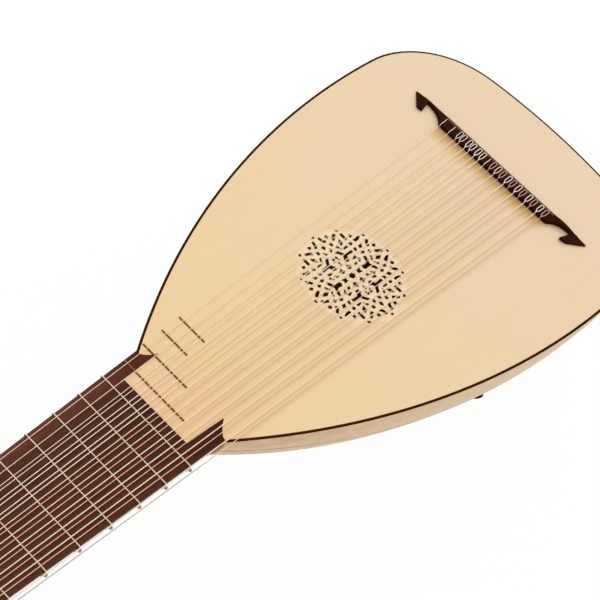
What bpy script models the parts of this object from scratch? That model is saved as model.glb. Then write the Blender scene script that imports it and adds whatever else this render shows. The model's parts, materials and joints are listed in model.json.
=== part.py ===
"""Eleven-course baroque lute, lying on its back with its soundboard up.

Lengths are metres. The pieces are drawn in the instrument's own frame: X towards the treble
side, Y from the bridge towards the pegbox, Z out of the soundboard, with zero on the soundboard's
face where the frets' scale ends, a little in front of the bridge. A parent empty then sets the
whole lute down, so that the origin is at the bottom centre of its box.
"""
import math

import bmesh
import bpy
from mathutils import Vector

MM = 0.001

# Working clearances
GAP = 0.3 * MM
RUN = 0.35 * MM

# Body: a three-arc outline, and a bowl that is half of it turned about the axis
BODY_HALF_WIDTH = 160 * MM
WIDEST_Y = 20 * MM
SIDE_ARC_RADIUS = 725 * MM
CORNER_ARC_RADIUS = 95 * MM
TAIL_ARC_RADIUS = 575 * MM
TAIL_Y = -108 * MM
JOINT_Y = 402 * MM
RIB_COUNT = 11
RIB_THICKNESS = 2.0 * MM
# Straight steps along the tail's, the corner's and the side's arcs
OUTLINE_STEPS = (4, 8, 14)

# Soundboard, its binding, bars and body frets
BOARD_THICKNESS = 1.8 * MM
BINDING_WIDTH = 3.0 * MM
TONGUE_LENGTH = 26.5 * MM
BAR_WIDTH = 5 * MM
BAR_DEPTH = 14 * MM
BAR_END_MARGIN = 9 * MM
BARS_FROM_ROSE = [-123 * MM, -73 * MM, 69 * MM]
BAR_TO_NECK_BLOCK = 30 * MM
BODY_FRET_WIDTH = 1.6 * MM
BODY_FRET_HEIGHT = 0.8 * MM
# Bass and treble end of each body fret, as shares of the tongue's width from its bass edge
BODY_FRET_SHARES = [(0.213, 0.953), (0.494, 0.997), (0.806, 1.217), (0.816, 1.229)]

# Rose: a star in the middle and rings of lozenges round it
ROSE_Y = 193.1 * MM
ROSE_STAR = (3.0 * MM, 1.6 * MM)
# Each ring's radius, and its lozenges' half length and half width
ROSE_RINGS = [(9.5 * MM, 2.6 * MM, 1.8 * MM), (18.0 * MM, 4.0 * MM, 2.2 * MM),
              (22.5 * MM, 2.4 * MM, 1.4 * MM), (30.0 * MM, 3.0 * MM, 1.8 * MM),
              (34.5 * MM, 2.6 * MM, 1.8 * MM), (41.5 * MM, 2.4 * MM, 1.5 * MM),
              (47.7 * MM, 1.3 * MM, 1.0 * MM)]
# Each ring's count of lozenges, and the first one's angle in degrees
ROSE_COUNTS = [(6, 30), (6, 30), (12, 15), (12, 15), (12, 0), (24, 7.5), (12, 0)]

# Neck and fingerboard; the frets are placed by this length, and the bridge stands a little behind it
SCALE_LENGTH = 700 * MM
BOARD_PAST_SHOULDER_TREBLE = 0.3 * MM
BOARD_INSIDE_SHOULDER_BASS = 1.8 * MM
BOARD_TREBLE_AT_NUT = 36.6 * MM
BOARD_BASS_AT_NUT = -45.5 * MM
FINGERBOARD_TOP = 0.3 * MM
POINT_LENGTH = 13.4 * MM
POINT_WIDTH_TREBLE = 12.0 * MM
POINT_WIDTH_BASS = 16.2 * MM
POINT_SAGITTA = 1.1 * MM
POINT_STEPS = 6
TONGUE_TAPER_TREBLE = 0.9 * MM
TONGUE_TAPER_BASS = 1.5 * MM
HEEL_LENGTH = 30 * MM
NECK_DEPTH_AT_HEEL = 28 * MM
NECK_DEPTH_AT_NUT = 22 * MM
NECK_BLOCK_LENGTH = 60 * MM
NECK_LIP_DEPTH = 8.3 * MM
NECK_END_SLANT = 5.5 * MM
NECK_SIDES = 11
HEEL_STEPS = 5
NECK_STEPS = 4
LIP_BEHIND_PEGBOX = 2 * MM
LIP_OVERLAP = 4 * MM
LIP_BELOW_NECK = 0.01 * MM
LIP_DRAWN_IN = 2 * MM

# Nut
NUT_THICKNESS = 4.5 * MM
NUT_OVERHANG_TREBLE = 2.0 * MM
NUT_OVERHANG_BASS = 7.8 * MM
NUT_STRING_Z = 2.4 * MM
NUT_RISE = 0.2 * MM

# Tied frets
FRET_RADIUS = 0.5 * MM
FRET_TO_TONGUE = 5 * MM
FRET_SIDES = 5
FRET_PATH_SIDES = 14

# Bridge: a block, and on each side an arm with a point that turns forward
BRIDGE_FRONT_Y = -7.6 * MM
BRIDGE_BACK_Y = -21.3 * MM
BRIDGE_CENTRE_X = 1.0 * MM
BRIDGE_HEIGHT = 4.3 * MM
BRIDGE_STRING_Z = 2.7 * MM
BRIDGE_BLOCK_HALF = 67.0 * MM
HOLE_OVERCUT = 2 * MM
# Each arm's stations: how far past the block its back and its front are, its depth and its height
BRIDGE_ARM = [(5.5 * MM, 5.0 * MM, 8.2 * MM, 3.9 * MM), (11 * MM, 11 * MM, 4.6 * MM, 3.6 * MM),
              (18 * MM, 18 * MM, 3.0 * MM, 3.2 * MM), (24 * MM, 23.8 * MM, 2.7 * MM, 3.0 * MM),
              (25 * MM, 20.8 * MM, 14.2 * MM, 3.0 * MM), (30 * MM, 26.4 * MM, 14.2 * MM, 3.0 * MM),
              (39.8 * MM, 39.4 * MM, 1.2 * MM, 1.8 * MM)]

# Strings: name, then place at the bridge, place at the nut and radius in millimetres
STRINGS = [
    ("string_01", 66.4, 33.1, 0.27),
    ("string_02", 55.7, 25.1, 0.29),
    ("string_03a", 47.0, 18.1, 0.30),
    ("string_03b", 42.5, 15.7, 0.30),
    ("string_04a", 35.2, 10.4, 0.38),
    ("string_04b", 30.3, 7.6, 0.38),
    ("string_05a", 23.6, 2.1, 0.42),
    ("string_05b", 18.0, -0.5, 0.42),
    ("string_06a", 11.2, -6.0, 0.36),
    ("string_06b", 4.9, -8.6, 0.34),
    ("string_07a", -1.3, -13.8, 0.40),
    ("string_07b", -7.2, -17.3, 0.34),
    ("string_08a", -14.2, -22.3, 0.45),
    ("string_08b", -19.8, -25.4, 0.34),
    ("string_09a", -26.6, -30.5, 0.47),
    ("string_09b", -32.5, -33.8, 0.34),
    ("string_10a", -39.8, -38.7, 0.47),
    ("string_10b", -45.8, -42.2, 0.35),
    ("string_11a", -53.6, -49.0, 0.50),
    ("string_11b", -60.0, -51.8, 0.36),
]
STRING_SPANS = 4
STRING_SIDES = 6
STRING_PAST_BRIDGE = 1 * MM
NUT_LEAVE = 0.6 * MM
# Strings in the order of their pegs, nearest the nut first
PEG_ORDER = [1, 20, 2, 19, 3, 18, 4, 17, 5, 16, 6, 15, 7, 14, 8, 13, 9, 12, 10, 11]

# Pegbox, bent back from the neck
PEGBOX_ANGLE = math.radians(80)
PEGBOX_CENTRE_X = -8.3 * MM
PEGBOX_HALF_AT_NUT = 51.5 * MM
PEGBOX_HALF_AT_END = 27 * MM
PEGBOX_DEPTH_AT_NUT = 32 * MM
PEGBOX_DEPTH_AT_END = 22 * MM
PEGBOX_CHEEK = 7 * MM
PEGBOX_FLOOR = 6 * MM
PEGBOX_END_WALL = 8 * MM
PEGBOX_FACE_DEPTH = 3 * MM
TROUGH_FOOT_PAST_PEG = 5 * MM
TROUGH_OVERCUT = 5 * MM
TROUGH_MOUTH = 20 * MM
BEND_PAST_NECK = 2.1 * MM
FIRST_PEG = 34 * MM
PEG_WEB = 0.8 * MM
PEG_END_MARGIN = 13 * MM
PEG_FRONT_AT_FIRST = 16 * MM
PEG_FRONT_AT_LAST = 9 * MM

# Pegs
PEG_RADIUS_HEAD = 3.8 * MM
PEG_RADIUS_TIP = 3.1 * MM
PEG_TIP_STAND = 2.5 * MM
PEG_HEAD_STAND = 3.0 * MM
PEG_SIDES = 10
PEG_HEAD_STEP = 0.01 * MM
PEG_TO_CHEEK = 3 * MM
SMOOTH_ANGLE = math.radians(40)
# Head's stations in millimetres from the shaft's shoulder: distance, half width, half thickness
PEG_HEAD = [(0.0, 5.4, 5.4), (1.8, 5.4, 5.4), (2.6, 3.0, 3.0), (5.5, 4.4, 3.2), (9.5, 7.4, 3.0),
            (14.0, 7.8, 2.7), (18.5, 6.2, 2.4), (21.5, 2.8, 2.0), (22.5, 1.9, 1.9), (24.5, 1.6, 1.6)]

# Buttons and clasp
CLASP_THICKNESS = 1.2 * MM
CLASP_HALF_WIDTH = 70 * MM
CLASP_DEPTH = 26 * MM
BUTTON_STEM_RADIUS = 3.0 * MM
BUTTON_HEAD_RADIUS = 5.5 * MM
# Stations of a turned button: distance from its foot, and radius
BUTTON_PROFILE = [(0.0, BUTTON_STEM_RADIUS + 1.2 * MM), (1.5 * MM, BUTTON_STEM_RADIUS),
                  (5 * MM, BUTTON_STEM_RADIUS), (7.5 * MM, BUTTON_HEAD_RADIUS - 0.8 * MM),
                  (9 * MM, BUTTON_HEAD_RADIUS), (11 * MM, BUTTON_HEAD_RADIUS - 1.2 * MM)]
BUTTON_SIDES = 14
TAIL_BUTTON_Z = -18 * MM
BACK_BUTTON_Y = 106 * MM
BACK_BUTTON_RIB = 2
BACK_BUTTON_TO_RIM = 10 * MM
BACK_BUTTON_SEAT = 0.75 * MM

SPRUCE = ("spruce", (0.86, 0.71, 0.50), 0.55)
MAPLE = ("maple", (0.80, 0.64, 0.44), 0.35)
ROSEWOOD = ("rosewood", (0.12, 0.045, 0.03), 0.4)
EBONY = ("ebony", (0.03, 0.02, 0.018), 0.35)
BONE = ("bone", (0.85, 0.80, 0.68), 0.35)
GUT = ("gut", (0.85, 0.78, 0.62), 0.4)


def material(look):
    name, colour, roughness = look
    found = bpy.data.materials.get(name)
    if found:
        return found
    made = bpy.data.materials.new(name)
    made.use_nodes = True
    shader = made.node_tree.nodes["Principled BSDF"]
    shader.inputs["Base Color"].default_value = (*colour, 1)
    shader.inputs["Roughness"].default_value = roughness
    return made


def add_object(name, verts, faces, look, place=(0, 0, 0), smooth_angle=None):
    """A named closed mesh object, its faces turned outwards."""
    mesh = bpy.data.meshes.new(name)
    mesh.from_pydata([tuple(v) for v in verts], [], faces)
    work = bmesh.new()
    work.from_mesh(mesh)
    bmesh.ops.recalc_face_normals(work, faces=work.faces)
    work.to_mesh(mesh)
    work.free()
    if smooth_angle is not None:
        mesh.shade_smooth()
        mesh.set_sharp_from_angle(angle=smooth_angle)
    made = bpy.data.objects.new(name, mesh)
    made.location = place
    if look:
        mesh.materials.append(material(look))
    bpy.context.scene.collection.objects.link(made)
    return made


def loft(rings, closed_ends=True):
    """Vertices and faces of a tube through rings of equal length."""
    verts = [v for ring in rings for v in ring]
    count = len(rings[0])
    faces = []
    for r in range(len(rings) - 1):
        for c in range(count):
            a = r * count + c
            b = r * count + (c + 1) % count
            faces.append((a, b, b + count, a + count))
    if closed_ends:
        faces.append(tuple(range(count)))
        faces.append(tuple(range(len(verts) - count, len(verts))))
    return verts, faces


def prism(outline, low, high):
    """Vertices and faces of a flat outline carried from one height to another."""
    return loft([[(x, y, low) for x, y in outline], [(x, y, high) for x, y in outline]])


def join(shapes):
    """Several shapes as one list of vertices and faces."""
    verts = []
    faces = []
    for more_verts, more_faces in shapes:
        start = len(verts)
        verts += more_verts
        faces += [tuple(i + start for i in face) for face in more_faces]
    return verts, faces


def box(low, high):
    """Vertices and faces of a box between two corners."""
    outline = [(low[0], low[1]), (high[0], low[1]), (high[0], high[1]), (low[0], high[1])]
    return prism(outline, low[2], high[2])


def boolean(target, tool_shape, operation, name):
    tool = add_object(name, *tool_shape, None)
    tool.hide_render = True
    tool.display_type = "WIRE"
    change = target.modifiers.new(name, "BOOLEAN")
    change.operation = operation
    change.solver = "EXACT"
    change.object = tool
    return tool


def lerp(a, b, t):
    return a + (b - a) * t


def corner_centre():
    """The centre of the lower corner's arc, tangent to the side's and the tail's arcs."""
    side = Vector((BODY_HALF_WIDTH - SIDE_ARC_RADIUS, WIDEST_Y))
    tail = Vector((0, TAIL_Y + TAIL_ARC_RADIUS))
    from_side = SIDE_ARC_RADIUS - CORNER_ARC_RADIUS
    from_tail = TAIL_ARC_RADIUS - CORNER_ARC_RADIUS
    apart = tail - side
    along = (from_side ** 2 - from_tail ** 2 + apart.length ** 2) / (2 * apart.length)
    across = math.sqrt(from_side ** 2 - along ** 2)
    unit = apart.normalized()
    return side + unit * along + Vector((unit.y, -unit.x)) * across


def side_x(y, inset=0.0):
    """The outline's half width at a place above the widest point."""
    reach = math.sqrt((SIDE_ARC_RADIUS - inset) ** 2 - (y - WIDEST_Y) ** 2)
    return BODY_HALF_WIDTH - SIDE_ARC_RADIUS + reach


# Places that follow from the sizes above
RIM_Z = -BOARD_THICKNESS - GAP
SHOULDER_X = side_x(JOINT_Y)
BOARD_TREBLE_AT_JOINT = SHOULDER_X + BOARD_PAST_SHOULDER_TREBLE
BOARD_BASS_AT_JOINT = -(SHOULDER_X - BOARD_INSIDE_SHOULDER_BASS)
POINT_TIP_Y = JOINT_Y - POINT_LENGTH
POINT_TIP_TREBLE = SHOULDER_X - POINT_WIDTH_TREBLE
POINT_TIP_BASS = -(SHOULDER_X - POINT_WIDTH_BASS)
TONGUE_END_Y = JOINT_Y + TONGUE_LENGTH
TONGUE_TREBLE = POINT_TIP_TREBLE - TONGUE_TAPER_TREBLE
TONGUE_BASS = POINT_TIP_BASS + TONGUE_TAPER_BASS
BAR_PLACES = [ROSE_Y + away for away in BARS_FROM_ROSE] + [JOINT_Y - NECK_BLOCK_LENGTH - BAR_TO_NECK_BLOCK]
TIED_FRETS = math.floor(12 * math.log2(SCALE_LENGTH / (TONGUE_END_Y + FRET_TO_TONGUE)))
NECK_END_Y = SCALE_LENGTH + NUT_THICKNESS
STRING_BEND_Y = NECK_END_Y + BEND_PAST_NECK
STRING_BEND_Z = NUT_STRING_Z
PEGBOX_TOP_Z = RIM_Z - NECK_LIP_DEPTH - GAP
PEG_SPACING = PEG_RADIUS_HEAD + PEG_RADIUS_TIP + 2 * RUN + PEG_WEB
LAST_PEG = FIRST_PEG + PEG_SPACING * (len(STRINGS) - 1)
PEGBOX_END = LAST_PEG + PEG_END_MARGIN


def fret_y(number):
    """A fret's place, counted from the nut, in equal semitones."""
    return SCALE_LENGTH * 2 ** (-number / 12)


def half_outline(inset, stop_y, start_y=None):
    """Treble half of the outline drawn in by inset, from the tail's centre to stop_y."""
    side = Vector((BODY_HALF_WIDTH - SIDE_ARC_RADIUS, WIDEST_Y))
    tail = Vector((0, TAIL_Y + TAIL_ARC_RADIUS))
    corner = corner_centre()
    to_tail = (corner - tail).normalized()
    to_side = (corner - side).normalized()
    tail_turn = math.atan2(to_tail.y, to_tail.x)
    side_turn = math.atan2(to_side.y, to_side.x)
    stop_turn = math.asin((stop_y - WIDEST_Y) / (SIDE_ARC_RADIUS - inset))
    points = []
    arcs = ((tail, TAIL_ARC_RADIUS, -math.pi / 2, tail_turn),
            (corner, CORNER_ARC_RADIUS, tail_turn, side_turn),
            (side, SIDE_ARC_RADIUS, side_turn, stop_turn))
    for (centre, radius, first, last), steps in zip(arcs, OUTLINE_STEPS):
        for i in range(steps):
            turn = lerp(first, last, i / steps)
            points.append((centre.x + (radius - inset) * math.cos(turn),
                           centre.y + (radius - inset) * math.sin(turn)))
    points.append((side_x(stop_y, inset), stop_y))
    if start_y is not None:
        points = [p for p in points if p[1] > start_y]
        points.insert(0, (side_x(start_y, inset), start_y))
    return points


def half_turned(points, rim_z, ribs=RIB_COUNT):
    """Rows of the bowl's faceted half turn, one row for each outline point."""
    return [[(x * math.cos(math.pi * j / ribs), y, rim_z - x * math.sin(math.pi * j / ribs))
             for j in range(ribs + 1)] for x, y in points]


def make_bowl():
    outer = half_turned(half_outline(0, JOINT_Y), RIM_Z)
    inner = half_turned(half_outline(RIB_THICKNESS, JOINT_Y), RIM_Z)
    verts = [outer[0][0], inner[0][0]]
    index = {}
    for name, rows in (("o", outer), ("i", inner)):
        for r, row in enumerate(rows):
            for c, v in enumerate(row):
                if r == 0:
                    index[name, r, c] = 0 if name == "o" else 1
                else:
                    index[name, r, c] = len(verts)
                    verts.append(v)
    last = len(outer) - 1
    faces = []
    for name in "oi":
        for r in range(last):
            for c in range(RIB_COUNT):
                corners = ((r, c), (r, c + 1), (r + 1, c + 1), (r + 1, c))
                faces.append(tuple(dict.fromkeys(index[name, *place] for place in corners)))
    for r in range(last):
        for c in (0, RIB_COUNT):
            face = [index["o", r, c], index["o", r + 1, c], index["i", r + 1, c], index["i", r, c]]
            faces.append(tuple(dict.fromkeys(face)))
    for c in range(RIB_COUNT):
        faces.append((index["o", last, c], index["o", last, c + 1],
                      index["i", last, c + 1], index["i", last, c]))
    return add_object("bowl", verts, faces, MAPLE)


def make_binding():
    """The dark edging, a strip along the outline from one shoulder round the tail to the other."""
    stop = JOINT_Y - GAP
    outer = half_outline(0, stop)
    inner = half_outline(BINDING_WIDTH, stop)
    rings = []
    for sign, order in ((1, -1), (-1, 1)):
        pairs = list(zip(outer, inner))[1 if sign < 0 else 0:][::order]
        for (xo, yo), (xi, yi) in pairs:
            rings.append([(sign * xo, yo, 0), (sign * xi, yi, 0),
                          (sign * xi, yi, -BOARD_THICKNESS), (sign * xo, yo, -BOARD_THICKNESS)])
    return add_object("edge_binding", *loft(rings), EBONY)


def point_arc(tip_x, joint_x, inset):
    """The curve between a shoulder and a fingerboard point's tip, drawn in by inset."""
    start = Vector((joint_x, JOINT_Y))
    tip = Vector((tip_x, POINT_TIP_Y))
    chord = tip - start
    half = chord.length / 2
    radius = (half ** 2 + POINT_SAGITTA ** 2) / (2 * POINT_SAGITTA)
    outward = Vector((-math.copysign(1, joint_x), 0))
    normal = Vector((-chord.y, chord.x)).normalized()
    if normal.dot(outward) < 0:
        normal = -normal
    centre = (start + tip) / 2 + normal * (POINT_SAGITTA - radius)
    first = start - centre
    last = tip - centre
    turn = first.angle_signed(last)
    points = []
    for i in range(POINT_STEPS + 1):
        angle = -turn * i / POINT_STEPS
        x = first.x * math.cos(angle) - first.y * math.sin(angle)
        y = first.x * math.sin(angle) + first.y * math.cos(angle)
        scale = (radius - inset) / radius
        points.append((centre.x + x * scale, centre.y + y * scale))
    return points


def lozenge(radius, turn, half_length, half_width):
    """A lozenge-shaped cutter through the soundboard, pointing away from the rose's centre."""
    along = Vector((math.cos(turn), math.sin(turn)))
    across = Vector((-along.y, along.x))
    centre = Vector((0, ROSE_Y)) + along * radius
    corners = [centre + along * half_length, centre + across * half_width,
               centre - along * half_length, centre - across * half_width]
    return prism([tuple(c) for c in corners], -2 * BOARD_THICKNESS, BOARD_THICKNESS)


def rose_cutters():
    """Openings of the rose: a star in the middle and rings of lozenges round it."""
    star = []
    for k in range(12):
        reach = ROSE_STAR[k % 2]
        star.append((reach * math.cos(math.pi * k / 6), ROSE_Y + reach * math.sin(math.pi * k / 6)))
    shapes = [prism(star, -2 * BOARD_THICKNESS, BOARD_THICKNESS)]
    for (radius, half_length, half_width), (count, start) in zip(ROSE_RINGS, ROSE_COUNTS):
        for k in range(count):
            turn = math.radians(start) + 2 * math.pi * k / count
            shapes.append(lozenge(radius, turn, half_length, half_width))
    return join(shapes)


def make_soundboard():
    inset = BINDING_WIDTH + GAP
    treble = half_outline(inset, JOINT_Y - 2 * GAP)
    treble_arc = point_arc(POINT_TIP_TREBLE, side_x(JOINT_Y, BINDING_WIDTH), GAP)[1:]
    bass_arc = point_arc(POINT_TIP_BASS, -side_x(JOINT_Y, BINDING_WIDTH), GAP)[1:]
    outline = list(treble)
    outline += treble_arc
    outline.append((POINT_TIP_TREBLE - 2 * GAP, POINT_TIP_Y - GAP))
    outline.append((TONGUE_TREBLE - GAP, TONGUE_END_Y))
    outline.append((TONGUE_BASS + GAP, TONGUE_END_Y))
    outline.append((POINT_TIP_BASS + 2 * GAP, POINT_TIP_Y - GAP))
    outline += bass_arc[::-1]
    outline += [(-x, y) for x, y in treble[:0:-1]]
    board = add_object("soundboard", *prism(outline, -BOARD_THICKNESS, 0), SPRUCE)
    overlap = BOARD_THICKNESS / 2
    extras = []
    for y in BAR_PLACES:
        half = side_x(y) - BAR_END_MARGIN
        extras.append(box((-half, y - BAR_WIDTH / 2, -BOARD_THICKNESS - BAR_DEPTH),
                          (half, y + BAR_WIDTH / 2, -BOARD_THICKNESS + overlap)))
    for number, shares in enumerate(BODY_FRET_SHARES, start=TIED_FRETS + 1):
        y = fret_y(number)
        low, high = (lerp(TONGUE_BASS, TONGUE_TREBLE, share) for share in shares)
        extras.append(box((low, y - BODY_FRET_WIDTH / 2, -overlap),
                          (high, y + BODY_FRET_WIDTH / 2, BODY_FRET_HEIGHT)))
    boolean(board, join(extras), "UNION", "bars_and_body_frets")
    boolean(board, rose_cutters(), "DIFFERENCE", "rose_openings")
    return board


def board_edges(y):
    """Treble and bass edges of the fingerboard and neck at a place along the neck."""
    along = (y - JOINT_Y) / (SCALE_LENGTH - JOINT_Y)
    return (lerp(BOARD_TREBLE_AT_JOINT, BOARD_TREBLE_AT_NUT, along),
            lerp(BOARD_BASS_AT_JOINT, BOARD_BASS_AT_NUT, along))


def make_fingerboard():
    end = SCALE_LENGTH - GAP
    treble_end, bass_end = board_edges(end)
    outline = [(treble_end, end), (BOARD_TREBLE_AT_JOINT, JOINT_Y)]
    outline += point_arc(POINT_TIP_TREBLE, side_x(JOINT_Y, BINDING_WIDTH), 0)
    outline += [(TONGUE_TREBLE, TONGUE_END_Y + GAP), (TONGUE_BASS, TONGUE_END_Y + GAP)]
    outline += point_arc(POINT_TIP_BASS, -side_x(JOINT_Y, BINDING_WIDTH), 0)[::-1]
    outline += [(BOARD_BASS_AT_JOINT, JOINT_Y), (bass_end, end)]
    return add_object("fingerboard", *prism(outline, -BOARD_THICKNESS, FINGERBOARD_TOP), ROSEWOOD)


def neck_depth(y):
    """Depth of the neck's round back below its flat top, with the heel at the body."""
    straight = lerp(NECK_DEPTH_AT_HEEL, NECK_DEPTH_AT_NUT, (y - JOINT_Y) / (SCALE_LENGTH - JOINT_Y))
    heel = max(0.0, 1 - (y - JOINT_Y) / HEEL_LENGTH)
    full = (BOARD_TREBLE_AT_JOINT - BOARD_BASS_AT_JOINT) / 2
    return straight + (full - straight) * heel ** 2 * (3 - 2 * heel)


def neck_section(y, depth, sides, spread=0.0):
    """The round back's outline at a place along the neck, from the treble edge to the bass edge."""
    treble, bass = board_edges(y)
    centre = (treble + bass) / 2
    half = (treble - bass) / 2 + spread
    deep = depth + spread
    turns = [math.pi * j / sides for j in range(sides + 1)]
    return [(centre + half * math.cos(turn), y, RIM_Z - deep * math.sin(turn)) for turn in turns]


def make_neck():
    """The neck: a heel against the body, a round back, and a thin lip over the pegbox's head."""
    lip_start = pegbox_point(0, PEGBOX_FACE_DEPTH + PEGBOX_DEPTH_AT_NUT)[1] - LIP_BEHIND_PEGBOX
    places = [JOINT_Y + GAP] + [JOINT_Y + HEEL_LENGTH * k / HEEL_STEPS for k in range(1, HEEL_STEPS + 1)]
    places += [lerp(JOINT_Y + HEEL_LENGTH, lip_start, k / NECK_STEPS) for k in range(1, NECK_STEPS + 1)]
    rings = [neck_section(y, neck_depth(y), NECK_SIDES) for y in places]
    neck = add_object("neck", *loft(rings), ROSEWOOD)
    top = RIM_Z - LIP_BELOW_NECK
    low = RIM_Z - NECK_LIP_DEPTH
    # Corners of the lip: place along the neck, height, and how far inside the fingerboard's edge
    profile = [(lip_start - LIP_OVERLAP, top, LIP_DRAWN_IN), (NECK_END_Y, top, 0.0),
               (NECK_END_Y - NECK_END_SLANT, low, LIP_DRAWN_IN / 2),
               (lip_start - LIP_OVERLAP, low, LIP_DRAWN_IN)]
    rings = []
    for side, inward in ((0, -1), (1, 1)):
        rings.append([(board_edges(y)[side] + inward * draw, y, z) for y, z, draw in profile])
    boolean(neck, loft(rings), "UNION", "neck_lip")
    return neck


def make_neck_block():
    inset = RIB_THICKNESS + GAP
    points = half_outline(inset, JOINT_Y - GAP, JOINT_Y - NECK_BLOCK_LENGTH)
    rows = half_turned(points, RIM_Z)
    return add_object("neck_block", *loft(rows), SPRUCE)


def make_nut():
    """The nut, with a groove for each string; it stands past the neck under the eleventh course."""
    treble, bass = board_edges(SCALE_LENGTH)
    top = NUT_STRING_Z + NUT_RISE
    profile = [(treble + NUT_OVERHANG_TREBLE, RIM_Z + GAP)]
    profile.append((treble + NUT_OVERHANG_TREBLE, top))
    for _, _, at_nut, radius in STRINGS:
        x = at_nut * MM
        reach = radius * MM + GAP
        low = NUT_STRING_Z - radius * MM - GAP
        profile += [(x + reach, top), (x + reach, low), (x - reach, low), (x - reach, top)]
    profile += [(bass - NUT_OVERHANG_BASS, top), (bass - NUT_OVERHANG_BASS, RIM_Z + GAP)]
    rings = [[(x, y, z) for x, z in profile] for y in (SCALE_LENGTH, NECK_END_Y)]
    return add_object("nut", *loft(rings), BONE)


def tube(points, radius, sides, closed=False):
    """A round tube through points, which lie close to a plane across the X or the Y axis."""
    rings = []
    count = len(points)
    along_y = abs((points[1] - points[0]).normalized().y) > 0.5
    across = Vector((1, 0, 0)) if along_y else Vector((0, 1, 0))
    for i, point in enumerate(points):
        before = points[(i - 1) % count] if closed or i > 0 else point
        after = points[(i + 1) % count] if closed or i < count - 1 else point
        forward = (after - before).normalized()
        side = forward.cross(across).normalized()
        up = forward.cross(side)
        turns = [2 * math.pi * k / sides for k in range(sides)]
        rings.append([point + (side * math.cos(turn) + up * math.sin(turn)) * radius for turn in turns])
    if closed:
        return loft(rings + [rings[0]], closed_ends=False)
    return loft(rings)


def make_tied_frets():
    """Each tied fret is a ring of gut round the neck and fingerboard, free to slide a little."""
    reach = GAP + FRET_RADIUS
    slant = reach * math.sqrt(0.5)
    top = FINGERBOARD_TOP
    frets = []
    for number in range(1, TIED_FRETS + 1):
        y = fret_y(number)
        treble, bass = board_edges(y)
        path = [Vector((treble, y, top + reach)), Vector((treble + slant, y, top + slant)),
                Vector((treble + reach, y, 0))]
        path += [Vector(p) for p in neck_section(y, neck_depth(y), FRET_PATH_SIDES, spread=reach)]
        path += [Vector((bass - reach, y, 0)), Vector((bass - slant, y, top + slant)),
                 Vector((bass, y, top + reach))]
        centre = Vector(((treble + bass) / 2, y, 0))
        ring = tube([p - centre for p in path], FRET_RADIUS, FRET_SIDES, closed=True)
        frets.append(add_object(f"tied_fret_{number}", *weld_ring(*ring, FRET_SIDES), GUT, centre))
    return frets


def weld_ring(verts, faces, sides):
    """Join a closed tube's repeated last ring to its first."""
    keep = len(verts) - sides
    return verts[:keep], [tuple(i % keep if i >= keep else i for i in face) for face in faces]


def pegbox_point(along, depth, x=0.0):
    """A point by its distance along the bent-back string line and its depth behind it."""
    cos, sin = math.cos(PEGBOX_ANGLE), math.sin(PEGBOX_ANGLE)
    return Vector((x, STRING_BEND_Y + along * cos - depth * sin, STRING_BEND_Z - along * sin - depth * cos))


def pegbox_share(along):
    """How far down the pegbox a place is, from its head to its end."""
    start = (STRING_BEND_Z - PEGBOX_TOP_Z) / math.sin(PEGBOX_ANGLE)
    return (along - start) / (PEGBOX_END - start)


def pegbox_half(along):
    return lerp(PEGBOX_HALF_AT_NUT, PEGBOX_HALF_AT_END, pegbox_share(along))


def peg_place(number):
    """Distance along the string line and depth of a peg's axis, counted from one."""
    along = FIRST_PEG + PEG_SPACING * (number - 1)
    share = (number - 1) / (len(STRINGS) - 1)
    return along, lerp(PEG_FRONT_AT_FIRST, PEG_FRONT_AT_LAST, share)


def peg_radius(x, head_x, tip_x):
    return lerp(PEG_RADIUS_HEAD, PEG_RADIUS_TIP, (x - head_x) / (tip_x - head_x))


def peg_ends(number):
    """Head side, and the x of the shaft's shoulder and of its tip."""
    along, _ = peg_place(number)
    side = 1 if number % 2 else -1
    half = pegbox_half(along)
    return (side, PEGBOX_CENTRE_X + side * (half + PEG_HEAD_STAND),
            PEGBOX_CENTRE_X - side * (half + PEG_TIP_STAND))


def peg_axis(number):
    along, front = peg_place(number)
    return pegbox_point(along, front + PEG_RADIUS_HEAD, PEGBOX_CENTRE_X)


def at_height(depth, z):
    """The point at a depth behind the string line and at a height."""
    along = (STRING_BEND_Z - z - depth * math.cos(PEGBOX_ANGLE)) / math.sin(PEGBOX_ANGLE)
    return pegbox_point(along, depth)


def floor_depth(along):
    """Depth of the trough's floor at a place along the pegbox."""
    back = lerp(PEGBOX_DEPTH_AT_NUT, PEGBOX_DEPTH_AT_END, pegbox_share(along))
    return PEGBOX_FACE_DEPTH + back - PEGBOX_FLOOR


def across_pegbox(corners):
    """Treble and bass rings of a shape across the pegbox, from its corners and half widths."""
    return [[Vector((PEGBOX_CENTRE_X + sign * half, p.y, p.z)) for p, half in corners] for sign in (1, -1)]


def pegbox_trough():
    """The cutter for the trough, open at the front and under the nut."""
    foot_along = FIRST_PEG + TROUGH_FOOT_PAST_PEG
    end_along = PEGBOX_END - PEGBOX_END_WALL
    top = PEGBOX_TOP_Z + TROUGH_OVERCUT
    head_half = pegbox_half(0) - PEGBOX_CHEEK
    end_half = pegbox_half(end_along) - PEGBOX_CHEEK
    corners = [(Vector((0, NECK_END_Y - NECK_END_SLANT + GAP, top)), head_half),
               (pegbox_point(foot_along, floor_depth(foot_along)), pegbox_half(foot_along) - PEGBOX_CHEEK),
               (pegbox_point(end_along, floor_depth(end_along)), end_half),
               (pegbox_point(end_along, -TROUGH_OVERCUT), end_half),
               (Vector((0, NECK_END_Y + TROUGH_MOUTH, top)), head_half)]
    return loft(across_pegbox(corners))


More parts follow.
